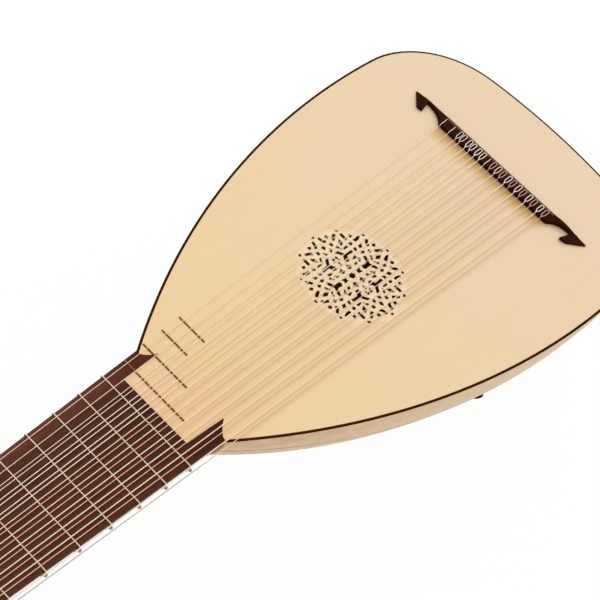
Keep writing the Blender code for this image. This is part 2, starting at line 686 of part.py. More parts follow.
def peg_hole(number):
    """The cutter for a peg's tapered hole through both cheeks."""
    side, shoulder, tip = peg_ends(number)
    centre = peg_axis(number)
    turns = [2 * math.pi * k / PEG_SIDES for k in range(PEG_SIDES)]
    ends = []
    for x in (shoulder + side * MM, tip - side * MM):
        reach = peg_radius(x, shoulder, tip) + RUN
        ends.append([(x, centre.y + reach * math.cos(turn), centre.z + reach * math.sin(turn))
                     for turn in turns])
    return loft(ends)


def make_pegbox():
    """A trough of two cheeks, a floor and an end, open away from the body."""
    corners = [(at_height(PEGBOX_FACE_DEPTH, PEGBOX_TOP_Z), PEGBOX_HALF_AT_NUT),
               (pegbox_point(PEGBOX_END, PEGBOX_FACE_DEPTH), PEGBOX_HALF_AT_END),
               (pegbox_point(PEGBOX_END, PEGBOX_FACE_DEPTH + PEGBOX_DEPTH_AT_END), PEGBOX_HALF_AT_END),
               (at_height(PEGBOX_FACE_DEPTH + PEGBOX_DEPTH_AT_NUT, PEGBOX_TOP_Z), PEGBOX_HALF_AT_NUT)]
    pegbox = add_object("pegbox", *loft(across_pegbox(corners)), ROSEWOOD)
    boolean(pegbox, pegbox_trough(), "DIFFERENCE", "pegbox_trough")
    holes = [peg_hole(number) for number in range(1, len(STRINGS) + 1)]
    boolean(pegbox, join(holes), "DIFFERENCE", "peg_holes")
    return pegbox


def make_pegs():
    """Tapered shafts with flat heads; every other peg has its head on the treble side."""
    cos, sin = math.cos(PEGBOX_ANGLE), math.sin(PEGBOX_ANGLE)
    turns = [2 * math.pi * k / PEG_SIDES for k in range(PEG_SIDES)]
    pegs = []
    for number in range(1, len(STRINGS) + 1):
        side, shoulder, tip = peg_ends(number)
        centre = peg_axis(number)
        stations = [(tip, PEG_RADIUS_TIP, PEG_RADIUS_TIP), (shoulder, PEG_RADIUS_HEAD, PEG_RADIUS_HEAD)]
        for reach, wide, thick in PEG_HEAD:
            stations.append((shoulder + side * (reach * MM + PEG_HEAD_STEP), wide * MM, thick * MM))
        rings = []
        for x, wide, thick in stations:
            if wide == thick:
                rings.append([Vector((x - centre.x, wide * math.cos(turn), wide * math.sin(turn)))
                              for turn in turns])
            else:
                flat = [(wide * math.cos(turn), thick * math.sin(turn)) for turn in turns]
                rings.append([Vector((x - centre.x, a * cos + b * sin, b * cos - a * sin))
                              for a, b in flat])
        pegs.append(add_object(f"peg_{number:02d}", *loft(rings), EBONY, centre, SMOOTH_ANGLE))
    return pegs


def make_strings():
    """Each string runs from behind the bridge, over the nut and down to its peg."""
    strings = []
    for number, index in enumerate(PEG_ORDER, start=1):
        name, at_bridge, at_nut, radius = STRINGS[index - 1]
        at_bridge, at_nut, radius = at_bridge * MM, at_nut * MM, radius * MM
        along, front = peg_place(number)
        slope = (at_nut - at_bridge) / (SCALE_LENGTH - BRIDGE_FRONT_Y)
        inner = pegbox_half(along) - PEGBOX_CHEEK - PEG_TO_CHEEK
        _, shoulder, tip = peg_ends(number)
        target = min(max(at_nut, PEGBOX_CENTRE_X - inner), PEGBOX_CENTRE_X + inner)
        slack = PEG_RADIUS_HEAD - peg_radius(target, shoulder, tip)
        landing = pegbox_point(along, front + slack - radius - GAP, target)
        bend_x = at_nut + slope * (STRING_BEND_Y - SCALE_LENGTH)
        start_y = BRIDGE_BACK_Y - STRING_PAST_BRIDGE
        bridge_end = Vector((at_bridge, BRIDGE_FRONT_Y, BRIDGE_STRING_Z))
        nut_end = Vector((at_nut, SCALE_LENGTH, NUT_STRING_Z))
        start_x = at_bridge + slope * (start_y - BRIDGE_FRONT_Y)
        points = [Vector((start_x, start_y, BRIDGE_STRING_Z))]
        points += [bridge_end.lerp(nut_end, k / STRING_SPANS) for k in range(STRING_SPANS + 1)]
        points += [Vector((bend_x, NECK_END_Y + NUT_LEAVE, NUT_STRING_Z)),
                   Vector((bend_x, STRING_BEND_Y, STRING_BEND_Z)), landing]
        strings.append(add_object(name, *tube(points, radius, STRING_SIDES), GUT))
    return strings


def string_hole(at_bridge, at_nut, radius):
    """The cutter for a string's hole through the bridge, in line with the string."""
    slope = (at_nut - at_bridge) / (SCALE_LENGTH - BRIDGE_FRONT_Y)
    reach = radius + GAP
    turns = [math.pi * (k + 0.5) / 3 for k in range(STRING_SIDES)]
    ends = []
    for y in (BRIDGE_BACK_Y - HOLE_OVERCUT, BRIDGE_FRONT_Y + HOLE_OVERCUT):
        x = at_bridge + slope * (y - BRIDGE_FRONT_Y)
        ends.append([(x + reach * math.cos(turn), y, BRIDGE_STRING_Z + reach * math.sin(turn))
                     for turn in turns])
    return loft(ends)


def make_bridge():
    """The bridge: a block with a hole for each string, between two low arms with forward points."""
    stations = [(0.0, 0.0, BRIDGE_FRONT_Y - BRIDGE_BACK_Y, BRIDGE_HEIGHT)] + BRIDGE_ARM
    rings = []
    for sign, order in ((-1, stations[::-1]), (1, stations)):
        for back, front, depth, height in order:
            back_x = BRIDGE_CENTRE_X + sign * (BRIDGE_BLOCK_HALF + back)
            front_x = BRIDGE_CENTRE_X + sign * (BRIDGE_BLOCK_HALF + front)
            front_y = BRIDGE_BACK_Y + depth
            rings.append([(back_x, BRIDGE_BACK_Y, GAP), (front_x, front_y, GAP),
                          (front_x, front_y, height), (back_x, BRIDGE_BACK_Y, height)])
    bridge = add_object("bridge", *loft(rings), ROSEWOOD)
    work = bmesh.new()
    work.from_mesh(bridge.data)
    bmesh.ops.triangulate(work, faces=work.faces, quad_method="SHORT_EDGE")
    bmesh.ops.recalc_face_normals(work, faces=work.faces)
    work.to_mesh(bridge.data)
    work.free()
    holes = [string_hole(*(size * MM for size in sizes)) for _, *sizes in STRINGS]
    boolean(bridge, join(holes), "DIFFERENCE", "string_holes")
    return bridge


def make_end_clasp():
    """The strip round the tail that covers the ribs' ends."""
    inner = [p for p in half_outline(-GAP, JOINT_Y) if p[0] <= CLASP_HALF_WIDTH and p[1] < WIDEST_Y]
    outer = half_outline(-GAP - CLASP_THICKNESS, JOINT_Y)[:len(inner)]
    pairs = list(zip(inner, outer))
    rings = []
    for sign, chosen in ((1, pairs[::-1]), (-1, pairs[1:])):
        for (xi, yi), (xo, yo) in chosen:
            rings.append([(sign * xi, yi, RIM_Z), (sign * xo, yo, RIM_Z),
                          (sign * xo, yo, RIM_Z - CLASP_DEPTH), (sign * xi, yi, RIM_Z - CLASP_DEPTH)])
    return add_object("end_clasp", *loft(rings), MAPLE)


def button(name, base, direction):
    """A turned strap button standing out from a base point."""
    direction = direction.normalized()
    side = direction.orthogonal().normalized()
    up = direction.cross(side)
    turns = [2 * math.pi * k / BUTTON_SIDES for k in range(BUTTON_SIDES)]
    rings = []
    for reach, radius in BUTTON_PROFILE:
        rings.append([base + direction * reach + (side * math.cos(turn) + up * math.sin(turn)) * radius
                      for turn in turns])
    return add_object(name, *loft(rings), EBONY, smooth_angle=SMOOTH_ANGLE)


def make_buttons():
    """One button at the middle of the tail, one on the back, on the bass side."""
    tail_foot = Vector((0, TAIL_Y - CLASP_THICKNESS - 2 * GAP, TAIL_BUTTON_Z))
    tail = button("tail_strap_button", tail_foot, Vector((0, -1, 0)))
    angle = math.pi * (RIB_COUNT - BACK_BUTTON_RIB - 0.5) / RIB_COUNT
    radius = side_x(BACK_BUTTON_Y) * math.cos(math.pi / RIB_COUNT / 2)
    slope = (side_x(BACK_BUTTON_Y + MM) - side_x(BACK_BUTTON_Y)) / MM
    out = Vector((math.cos(angle), -slope, -math.sin(angle))).normalized()
    foot = Vector((radius * math.cos(angle), BACK_BUTTON_Y, RIM_Z - radius * math.sin(angle)))
    foot += Vector((-math.sin(angle), 0, -math.cos(angle))) * BACK_BUTTON_TO_RIM
    return [tail, button("back_strap_button", foot + out * BACK_BUTTON_SEAT, out)]


def lowest_and_highest(pieces):
    """The corners of the box round all the pieces, modifiers included."""
    graph = bpy.context.evaluated_depsgraph_get()
    points = []
    for piece in pieces:
        shown = piece.evaluated_get(graph)
        mesh = shown.to_mesh()
        points += [piece.matrix_world @ v.co for v in mesh.vertices]
        shown.to_mesh_clear()
    return (Vector([min(p[i] for p in points) for i in range(3)]),
            Vector([max(p[i] for p in points) for i in range(3)]))


def build_lute():
    for old in list(bpy.data.objects):
        bpy.data.objects.remove(old, do_unlink=True)
    pieces = [make_bowl(), make_binding(), make_soundboard(), make_fingerboard(), make_neck(),
              make_neck_block(), make_nut(), make_bridge(), make_pegbox(), make_end_clasp()]
    pieces += make_buttons() + make_tied_frets() + make_pegs() + make_strings()
    bpy.context.view_layer.update()
    low, high = lowest_and_highest(pieces)
    stand = bpy.data.objects.new("lute", None)
    bpy.context.scene.collection.objects.link(stand)
    for made in list(bpy.data.objects):
        if made is not stand:
            made.parent = stand
    stand.location = (-(low.x + high.x) / 2, -(low.y + high.y) / 2, -low.z)
    bpy.context.view_layer.update()


build_lute()
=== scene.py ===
"""Finish, fittings and stage for an eleven-course baroque lute that lies on its back.

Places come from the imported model. Pieces are drawn in the lute's own millimetres: X towards the treble
side, Y from the bridge towards the pegbox and Z out of the soundboard, with zero on the soundboard's
face where the frets' scale ends.
"""
import json
import math

import bmesh
import bpy
from bpy.props import FloatProperty, FloatVectorProperty, IntProperty, PointerProperty
from mathutils import Matrix, Vector


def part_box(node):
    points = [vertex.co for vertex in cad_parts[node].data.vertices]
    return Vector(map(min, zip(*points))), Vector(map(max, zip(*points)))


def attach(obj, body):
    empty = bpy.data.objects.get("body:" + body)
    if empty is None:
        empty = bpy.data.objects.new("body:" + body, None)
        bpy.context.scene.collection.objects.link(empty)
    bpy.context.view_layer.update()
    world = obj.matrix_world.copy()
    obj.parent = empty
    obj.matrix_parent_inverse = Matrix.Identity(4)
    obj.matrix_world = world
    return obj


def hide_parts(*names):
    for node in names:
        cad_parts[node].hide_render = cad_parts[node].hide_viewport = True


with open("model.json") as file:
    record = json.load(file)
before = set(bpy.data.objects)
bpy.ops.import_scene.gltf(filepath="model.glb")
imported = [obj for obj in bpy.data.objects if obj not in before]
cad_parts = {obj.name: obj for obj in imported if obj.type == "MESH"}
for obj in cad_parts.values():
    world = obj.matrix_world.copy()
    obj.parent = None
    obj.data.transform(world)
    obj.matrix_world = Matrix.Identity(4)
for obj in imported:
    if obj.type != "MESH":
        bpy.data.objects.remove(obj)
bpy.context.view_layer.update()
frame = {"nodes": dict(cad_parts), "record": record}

bl_info = {
    "name": "Baroque Lute",
    "version": (1, 0, 0),
    "blender": (4, 5, 0),
    "location": "3D View > Sidebar > Lute",
    "description": "Finishes a baroque lute: woods, gut, carved rose, ties, pegs and the stage",
    "category": "Object",
}

MM = 0.001


def corner(node, which):
    """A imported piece's lowest (0) or highest (1) corner."""
    return Vector(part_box(node)[which])


# Length by which the frets are placed, in millimetres
NUT_Y = 700.0
HOME = Vector(((corner("edge_binding", 0).x + corner("edge_binding", 1).x) / 2,
               corner("nut", 0).y - NUT_Y * MM, corner("edge_binding", 1).z))


def local(point):
    """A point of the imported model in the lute's own millimetres."""
    return (Vector(point) - HOME) / MM


# Body, in millimetres
HALF_WIDTH = (corner("edge_binding", 1).x - corner("edge_binding", 0).x) / 2 / MM
JOINT_Y = local(corner("bowl", 1)).y
TAIL_Y = local(corner("bowl", 0)).y
WIDEST_Y = 20.0
SIDE_RADIUS = 725.0
CORNER_RADIUS = 95.0
TAIL_RADIUS = 575.0
OUTLINE_STEPS = (10, 18, 34)
BOARD_THICKNESS = 1.8
RIM_Z = -2.1
GAP = 0.3
RIBS = 11
RIB_THICKNESS = 2.0
BINDING_WIDTH = 2.2
BINDING_DROP = 0.7
SEAM = 0.04
POINT_START_INSET = 3.0

# Neck and fingerboard
NECK_END_Y = local(corner("nut", 1)).y
TREBLE_AT_JOINT = local(corner("fingerboard", 1)).x
TREBLE_AT_NUT = 36.6
BASS_AT_JOINT = local(corner("fingerboard", 0)).x
BASS_AT_NUT = -45.5
FINGERBOARD_TOP = local(corner("fingerboard", 1)).z
POINT_TIP_Y = local(corner("fingerboard", 0)).y
POINT_TIP_TREBLE = 39.2
POINT_TIP_BASS = -35.0
POINT_SAGITTA = 1.1
TONGUE_END_Y = JOINT_Y + 26.5
TONGUE_TREBLE = 38.3
TONGUE_BASS = -33.5
HEEL_LENGTH = 30.0
NECK_DEPTHS = (28.0, 22.0)

# Pegbox, bent back from the neck
PEGBOX_TURN = math.radians(80)
PEGBOX_FRONT = Vector((0, math.sin(PEGBOX_TURN), math.cos(PEGBOX_TURN)))
PEGBOX_DOWN = Vector((0, math.cos(PEGBOX_TURN), -math.sin(PEGBOX_TURN)))
PEGBOX_MIDDLE_X = (local(corner("pegbox", 0)).x + local(corner("pegbox", 1)).x) / 2
PEG_HEAD_LENGTH = 24.51
PEG_RADII = (3.1, 3.8)
# Stations of a peg's head: distance from the shaft's shoulder, half width and half thickness
PEG_HEAD = [(0, 3.8, 3.8), (0.3, 4.9, 4.9), (0.8, 5.4, 5.4), (1.4, 5.3, 5.3), (1.9, 4.3, 4.3),
            (2.5, 3.1, 3.1), (3.4, 3.0, 3.0), (4.6, 3.7, 3.2), (6.2, 5.1, 3.2), (7.8, 6.5, 3.1),
            (9.5, 7.4, 3.0), (11.5, 7.9, 2.9), (13.5, 7.8, 2.75), (15.8, 7.3, 2.6), (17.8, 6.5, 2.45),
            (19.6, 5.2, 2.3), (21.0, 3.5, 2.1), (21.8, 2.0, 1.8), (22.2, 1.5, 1.5), (22.6, 1.8, 1.8),
            (23.3, 2.0, 2.0), (24.0, 1.6, 1.6), (24.4, 0.8, 0.8)]

# Bridge: how far past the block each station's back and front are, its depth and its height
BRIDGE_BACK_Y = local(corner("bridge", 0)).y
BRIDGE_FRONT_Y = local(corner("bridge", 1)).y
BRIDGE_TOP = local(corner("bridge", 1)).z
BRIDGE_MIDDLE_X = (local(corner("bridge", 0)).x + local(corner("bridge", 1)).x) / 2
BRIDGE_HALF_BLOCK = 67.0
BRIDGE_STRIP = (3.2, 0.3, 0.15, 0.35)
BRIDGE_TREBLE = [(0, 0, 13.7, 4.3), (1.2, 1.0, 12.3, 4.0), (3, 2.7, 10.4, 3.85), (5.5, 5.0, 8.2, 3.7),
                 (8, 7.8, 6.3, 3.6), (11, 11, 4.8, 3.45), (14.5, 14.4, 3.8, 3.4), (18, 18, 3.0, 3.5),
                 (21, 20.9, 2.6, 3.6), (24, 23.8, 2.6, 3.6), (24.6, 21.0, 14.0, 3.5),
                 (28.5, 24.4, 15.0, 3.3), (31, 27.2, 14.8, 2.6), (39.8, 39.4, 1.2, 1.6)]
BRIDGE_BASS = [(0, 0, 13.7, 4.3), (1.2, 1.0, 12.6, 4.3), (3, 2.7, 10.8, 4.5), (5.5, 5.0, 8.2, 4.8),
               (8, 7.8, 6.2, 4.9), (11, 11, 4.6, 4.9), (14.5, 14.4, 3.6, 4.7), (18, 18, 3.2, 4.3),
               (21, 20.9, 3.2, 3.8), (23.6, 23.3, 3.6, 3.3), (24.6, 19.2, 16.0, 3.0),
               (28, 23.2, 15.8, 3.1), (31, 26.8, 14.6, 2.4), (39.8, 39.4, 1.2, 1.6)]

# Rose: openings in millimetres from its centre, with the neck's side up
ROSE_CENTRE = (-0.9, 193.1)
ROSE_REPEATS = 6
ROSE_LIGHT = (1.05, 1.12, 1.2)
ROSE_MIDDLE = (3.5, 2.1)
# Right halves of the openings that lie across the Y axis
ROSE_ACROSS_Y = [
    [(1.4, 7.2), (1.7, 9.4), (2.2, 11.6), (0, 10.5)],
    [(0, 14.3), (2.5, 16.3), (1.8, 17.4), (1.8, 21.2), (8.3, 24.2), (7.6, 26.0), (5.2, 25.6), (0, 23.0)],
    [(0, 31.5), (1.9, 34.8), (0, 38.4)],
    [(1.3, 46.8), (1.1, 48.4)],
]
# Upper halves of the openings that lie across the X axis
ROSE_ACROSS_X = [
    [(12.4, 0), (14.5, 1.3), (17.2, 0)],
    [(32.3, 0), (34.6, 1.7), (37.4, 0)],
    [(46.6, 0), (47.7, 1.5), (48.8, 0)],
]
# Openings with a mirrored twin across the Y axis
ROSE_PAIRS = [
    [(5.7, 16.9), (7.4, 17.1), (10.1, 18.6), (9.0, 20.5), (8.1, 19.8)],
    [(1.1, 27.4), (5.7, 29.9), (4.3, 31.1), (1.2, 28.8)],
    [(9.4, 31.3), (10.9, 33.6), (8.8, 34.9), (7.4, 32.6)],
    [(11.5, 24.9), (13.0, 27.0), (11.6, 29.3), (10.2, 27.4)],
    [(4.1, 44.3), (1.9, 43.2), (5.3, 37.1), (7.4, 38.3)],
    [(11.0, 39.5), (13.0, 41.2), (11.4, 43.4), (9.4, 41.5)],
    [(14.3, 35.2), (17.4, 36.8), (19.9, 40.0), (18.0, 41.1), (15.7, 38.5), (12.9, 37.2)],
]
ROSE_POCKET = (50.5, -0.4)
# Groove round the rose: its two radii and its depth
ROSE_GROOVE = (51.0, 51.5, 0.12)

# Body frets: number, bass end and treble end
BODY_FRETS = [(9, -18.2, 36.6), (10, 2.0, 53.0), (11, 24.4, 53.9), (12, 25.1, 54.8)]
POINT_FRET = (9, 37.3, 50.2)
# Bars under the soundboard, as places along the lute
BARS = (70.1, 120.1, 262.1, 312.0)

# Courses tied at the bridge with a single strand instead of a loop
SINGLE_TIES = ("string_01", "string_02", "string_06a")


class LuteColours(bpy.types.PropertyGroup):
    spruce: FloatVectorProperty(name="Spruce", description="Soundboard", subtype="COLOR", size=3,
                                default=(0.90, 0.72, 0.50))
    maple: FloatVectorProperty(name="Maple", description="Ribs and end clasp", subtype="COLOR", size=3,
                               default=(0.82, 0.595, 0.355))
    rosewood: FloatVectorProperty(name="Rosewood", description="Fingerboard, bridge, neck and pegbox",
                                  subtype="COLOR", size=3, default=(0.125, 0.036, 0.021))
    edging: FloatVectorProperty(name="Edging", description="Binding, pegs and buttons", subtype="COLOR",
                                size=3, default=(0.042, 0.012, 0.001))
    bone: FloatVectorProperty(name="Bone", description="Nut", subtype="COLOR", size=3,
                              default=(0.80, 0.74, 0.60))
    gut: FloatVectorProperty(name="Gut", description="Tied frets", subtype="COLOR", size=3,
                             default=(1.0, 0.85, 0.67))
    knot: FloatVectorProperty(name="Knots", description="Singed knots of the tied frets", subtype="COLOR",
                              size=3, default=(0.52, 0.47, 0.38))
    pale: FloatVectorProperty(name="Pale strings", description="Plain gut strings", subtype="COLOR",
                              size=3, default=(1.0, 0.85, 0.71))
    amber: FloatVectorProperty(name="Amber strings", description="Upper strings of the low courses",
                               subtype="COLOR", size=3, default=(0.88, 0.59, 0.44))


class LuteSizes(bpy.types.PropertyGroup):
    rib_crown: FloatProperty(name="Rib crown", description="How far each rib swells between its joints",
                             default=0.7 * MM, min=0, unit="LENGTH")
    joint_line: FloatProperty(name="Joint line", description="Width of the dark line between two ribs",
                              default=1.0 * MM, min=0, unit="LENGTH")
    tie_width: FloatProperty(name="Tie width", description="Width of a string's loop on the bridge",
                             default=3.1 * MM, min=0, unit="LENGTH")
    fret_radius: FloatProperty(name="Fret radius", description="Half the thickness of a tied fret",
                               default=0.5 * MM, min=0, unit="LENGTH")
    winding_turns: FloatProperty(name="Winding turns", description="Turns of string round each peg",
                                 default=4.5, min=1)
    cord_sides: IntProperty(name="Cord sides", description="Faces round a string or a fret", default=10,
                            min=3)


class LuteStage(bpy.types.PropertyGroup):
    lens: FloatProperty(name="Lens", description="Focal length on a 36 mm sensor", default=111.77,
                        min=10, subtype="DISTANCE_CAMERA")
    lamp_power: FloatProperty(name="Lamp", description="Power of the large soft lamp", default=270.0,
                              min=0, unit="POWER")
    world_strength: FloatProperty(name="Surround", description="Brightness of the white surround",
                                  default=0.62, min=0)


class Finish:
    """A procedural material in the making."""

    def __init__(self, name, roughness, specular=0.5, coat=0.0):
        self.made = bpy.data.materials.new(name)
        self.made.use_nodes = True
        self.tree = self.made.node_tree
        self.shader = self.tree.nodes["Principled BSDF"]
        self.shader.inputs["Roughness"].default_value = roughness
        self.shader.inputs["Specular IOR Level"].default_value = specular
        self.shader.inputs["Coat Weight"].default_value = coat
        self.place = self.node("ShaderNodeTexCoord").outputs["Object"]

    def node(self, kind, inputs=(), **settings):
        made = self.tree.nodes.new(kind)
        for key, value in settings.items():
            setattr(made, key, value)
        for key, value in dict(inputs).items():
            if isinstance(value, bpy.types.NodeSocket):
                self.tree.links.new(value, made.inputs[key])
            else:
                made.inputs[key].default_value = value
        return made

    def stretched(self, scale, stretch, axis):
        """Coordinates that run stretch times slower along one axis."""
        scales = [scale, scale, scale]
        scales["XYZ".index(axis)] = scale / stretch
        return self.node("ShaderNodeMapping", {"Vector": self.place, "Scale": scales}).outputs[0]

    def streaks(self, scale, stretch=40.0, axis="Y", detail=4.0):
        """Noise drawn out along one axis."""
        vector = self.stretched(scale, stretch, axis)
        return self.node("ShaderNodeTexNoise", {"Vector": vector, "Scale": 1.0, "Detail": detail,
                                                "Roughness": 0.6}).outputs[0]

    def rings(self, spacing, wander=2.0):
        """Year rings that run along the lute, spacing metres apart."""
        vector = self.stretched(1.0, 50.0, "Y")
        return self.node("ShaderNodeTexWave", {"Vector": vector, "Scale": math.pi / 10 / spacing,
                                               "Distortion": wander, "Detail": 3.0,
                                               "Detail Scale": 0.6}).outputs[1]

    def along(self, low, high):
        """Zero to one between two places along the lute, in its own millimetres."""
        place = self.node("ShaderNodeSeparateXYZ", {0: self.place}).outputs[1]
        return self.range(place, HOME.y + low * MM, HOME.y + high * MM)

    def painted_bridge_shade(self):
        """A soft mask of painted warm shade, at its strongest along the bridge's front edge."""
        split = self.node("ShaderNodeSeparateXYZ", {0: self.place}).outputs
        edge = HOME.y + BRIDGE_FRONT_Y * MM
        middle = HOME.x + BRIDGE_MIDDLE_X * MM
        away = self.math("SUBTRACT", split[0], middle)
        ends = self.range(self.math("ABSOLUTE", away), 61 * MM, 71 * MM, 1, 0)
        rise = self.range(split[1], edge, edge + 4 * MM, 0.2, 0.9)
        fall = self.math("POWER", self.range(split[1], edge + 6 * MM, edge + 20 * MM, 1, 0), 1.3)
        behind = self.range(split[1], edge - 8 * MM, edge - 4 * MM)
        return self.math("MULTIPLY", self.math("MULTIPLY", ends, rise), self.math("MULTIPLY", fall, behind))

    def in_rose(self):
        """A mask of the rose's round field."""
        split = self.node("ShaderNodeSeparateXYZ", {0: self.place}).outputs
        across = self.math("SUBTRACT", split[0], HOME.x + ROSE_CENTRE[0] * MM)
        along = self.math("SUBTRACT", split[1], HOME.y + ROSE_CENTRE[1] * MM)
        far = self.math("SQRT", self.math("ADD", self.math("MULTIPLY", across, across),
                                          self.math("MULTIPLY", along, along)))
        return self.range(far, 46 * MM, 52 * MM, 1, 0)

    def math(self, operation, *values):
        """One sum of two numbers or sockets."""
        return self.node("ShaderNodeMath", dict(enumerate(values)), operation=operation).outputs[0]

    def ramp(self, socket, stops):
        """Colours or greys along a value. Each stop is a place and a colour."""
        made = self.node("ShaderNodeValToRGB", {0: socket})
        points = made.color_ramp.elements
        for index, (place, colour) in enumerate(stops):
            point = points[index] if index < 2 else points.new(place)
            point.position = place
            point.color = (*colour, 1)
        return made.outputs[0]

    def mix(self, factor, first, second, blend="MIX"):
        made = self.node("ShaderNodeMix", data_type="RGBA", blend_type=blend)
        for index, value in ((0, factor), (6, first), (7, second)):
            if isinstance(value, bpy.types.NodeSocket):
                self.tree.links.new(value, made.inputs[index])
            else:
                made.inputs[index].default_value = value if index == 0 else (*value, 1)
        return made.outputs[2]

    def range(self, socket, low, high, to_low=0.0, to_high=1.0):
        return self.node("ShaderNodeMapRange", {0: socket, 1: low, 2: high, 3: to_low,
                                                4: to_high}).outputs[0]

    def colour(self, socket):
        self.tree.links.new(socket, self.shader.inputs["Base Color"])
        return self

    def rough(self, socket, low, high):
        self.tree.links.new(self.range(socket, 0.3, 0.7, low, high), self.shader.inputs["Roughness"])
        return self

    def bump(self, socket, height, strength=1.0):
        made = self.node("ShaderNodeBump", {"Height": socket, "Distance": height, "Strength": strength})
        self.tree.links.new(made.outputs[0], self.shader.inputs["Normal"])
        return self


def times(colour, *shares):
    """A colour with its channels scaled, all alike or one by one."""
    shares = shares * 3 if len(shares) == 1 else shares
    return tuple(min(1.0, channel * share) for channel, share in zip(colour, shares))


def spruce_finish(colour):
    """Quarter-sawn spruce: fine year rings, broad warm bands and a silky fibre, with painted warm shade."""
    finish = Finish("spruce", 0.55, specular=0.35)
    rings = finish.rings(1.25 * MM)
    fibre = finish.streaks(1400, 60)
    broad = finish.streaks(75, 55, detail=3)
    drift = finish.streaks(7, 3, detail=2)
    base = finish.ramp(rings, [(0.35, colour), (1.0, times(colour, 0.95, 0.90, 0.84))])
    warm = finish.mix(finish.range(broad, 0.47, 0.68, 0.0, 0.55), base, times(colour, 0.99, 0.91, 0.81))
    fine = finish.mix(finish.range(fibre, 0.35, 0.7, 0.0, 0.25), warm, times(colour, 1.03, 1.05, 1.07))
    toned = finish.mix(finish.range(drift, 0.4, 0.65, 0.0, 0.35), fine, times(colour, 1.0, 0.96, 0.90))
    # Painted shade: warmer towards the neck, as under the strings, and a little dimmer and cooler at the tail
    shade_warmed = finish.mix(1.0, toned, finish.ramp(finish.along(-80, 430), [
        (0.0, (0.92, 0.92, 0.94)), (1.0, (1.0, 0.88, 0.73)), (0.8, (0.985, 0.935, 0.81))]), "MULTIPLY")
    lit = finish.mix(finish.in_rose(), shade_warmed, finish.mix(1.0, shade_warmed, ROSE_LIGHT, "MULTIPLY"))
    # Painted warm shade and bounced light just in front of the bridge
    finish.colour(finish.mix(finish.painted_bridge_shade(), lit, times(colour, 0.73, 0.53, 0.225)))
    finish.bump(fibre, 0.03 * MM, 0.5)
    return finish.rough(fibre, 0.48, 0.62).made


def maple_finish(colour):
    """Pale maple with long soft streaks under a thin varnish."""
    finish = Finish("maple", 0.4, specular=0.3)
    broad = finish.streaks(110, 30, detail=3)
    grain = finish.streaks(520, 45)
    drift = finish.streaks(14, 4, detail=2)
    base = finish.mix(finish.range(broad, 0.36, 0.66), times(colour, 0.90, 0.86, 0.80),
                      times(colour, 1.07, 1.07, 1.07))
    lined = finish.mix(finish.range(grain, 0.45, 0.75, 0.0, 0.4), base, times(colour, 0.86, 0.79, 0.70))
    toned = finish.mix(finish.range(drift, 0.4, 0.65, 0.0, 0.4), lined, times(colour, 1.06, 1.08, 1.14))
    return finish.colour(toned).rough(grain, 0.34, 0.46).bump(grain, 0.02 * MM, 0.4).made


def rosewood_finish(colour, name="rosewood", axis="Y", specular=0.05):
    """Dark reddish wood with long darker veins and open pores; the plain rosewood has painted shade, darkest
    by the body.
    """
    finish = Finish(name, 0.42, specular=specular)
    veins = finish.streaks(170, 28, axis)
    streak = finish.streaks(800, 60, axis, detail=5)
    pores = finish.streaks(2600, 18, axis, detail=2)
    base = finish.ramp(veins, [(0.30, times(colour, 0.72, 0.7, 0.7)), (0.52, colour),
                               (0.72, times(colour, 1.25, 1.2, 1.15))])
    lined = finish.mix(finish.range(streak, 0.42, 0.68, 0.0, 0.45), base, times(colour, 0.55, 0.48, 0.48))
    dotted = finish.mix(finish.range(pores, 0.58, 0.72, 0.0, 0.6), lined, times(colour, 0.35))
    if name == "rosewood":
        # Painted light: darkest by the body, lighter towards the nut where the fingerboard catches a sheen
        dotted = finish.mix(1.0, dotted, finish.ramp(finish.along(395, 595), [
            (0.0, (0.6, 0.3, 0.12)), (1.0, (1.2, 1.18, 1.18)), (0.25, (0.9, 0.8, 0.68))]), "MULTIPLY")
        # Painted shade: darker under the strings than on the open treble edge of the fingerboard
        aside = finish.node("ShaderNodeSeparateXYZ", {0: finish.place}).outputs[0]
        treble = finish.range(aside, HOME.x + 30 * MM, HOME.x + 40 * MM)
        dotted = finish.mix(1.0, dotted, finish.ramp(treble, [
            (0.0, (0.72, 0.76, 0.6)), (1.0, (1.1, 1.2, 1.29))]), "MULTIPLY")
    return finish.colour(dotted).rough(streak, 0.36, 0.5).bump(pores, 0.03 * MM, 0.4).made


def edging_finish(colour):
    """Near-black brown wood, polished."""
    finish = Finish("dark_edging", 0.5, specular=0.0)
    streak = finish.streaks(700, 30)
    pores = finish.streaks(2400, 14, detail=2)
    base = finish.ramp(streak, [(0.32, times(colour, 0.6)), (0.7, times(colour, 1.5))])
    return finish.colour(base).rough(streak, 0.28, 0.4).bump(pores, 0.02 * MM, 0.3).made


# Painted light on the strings over the soundboard and over the fingerboard: over the board they take its warm
# colour, a painted reflection
GUT_PAINTED_TINTS = {"pale_gut": ((1.0, 0.95, 0.76), (1.0, 1.0, 1.02)),
              "amber_gut": ((0.87, 0.76, 0.66), (1.13, 0.93, 0.78))}


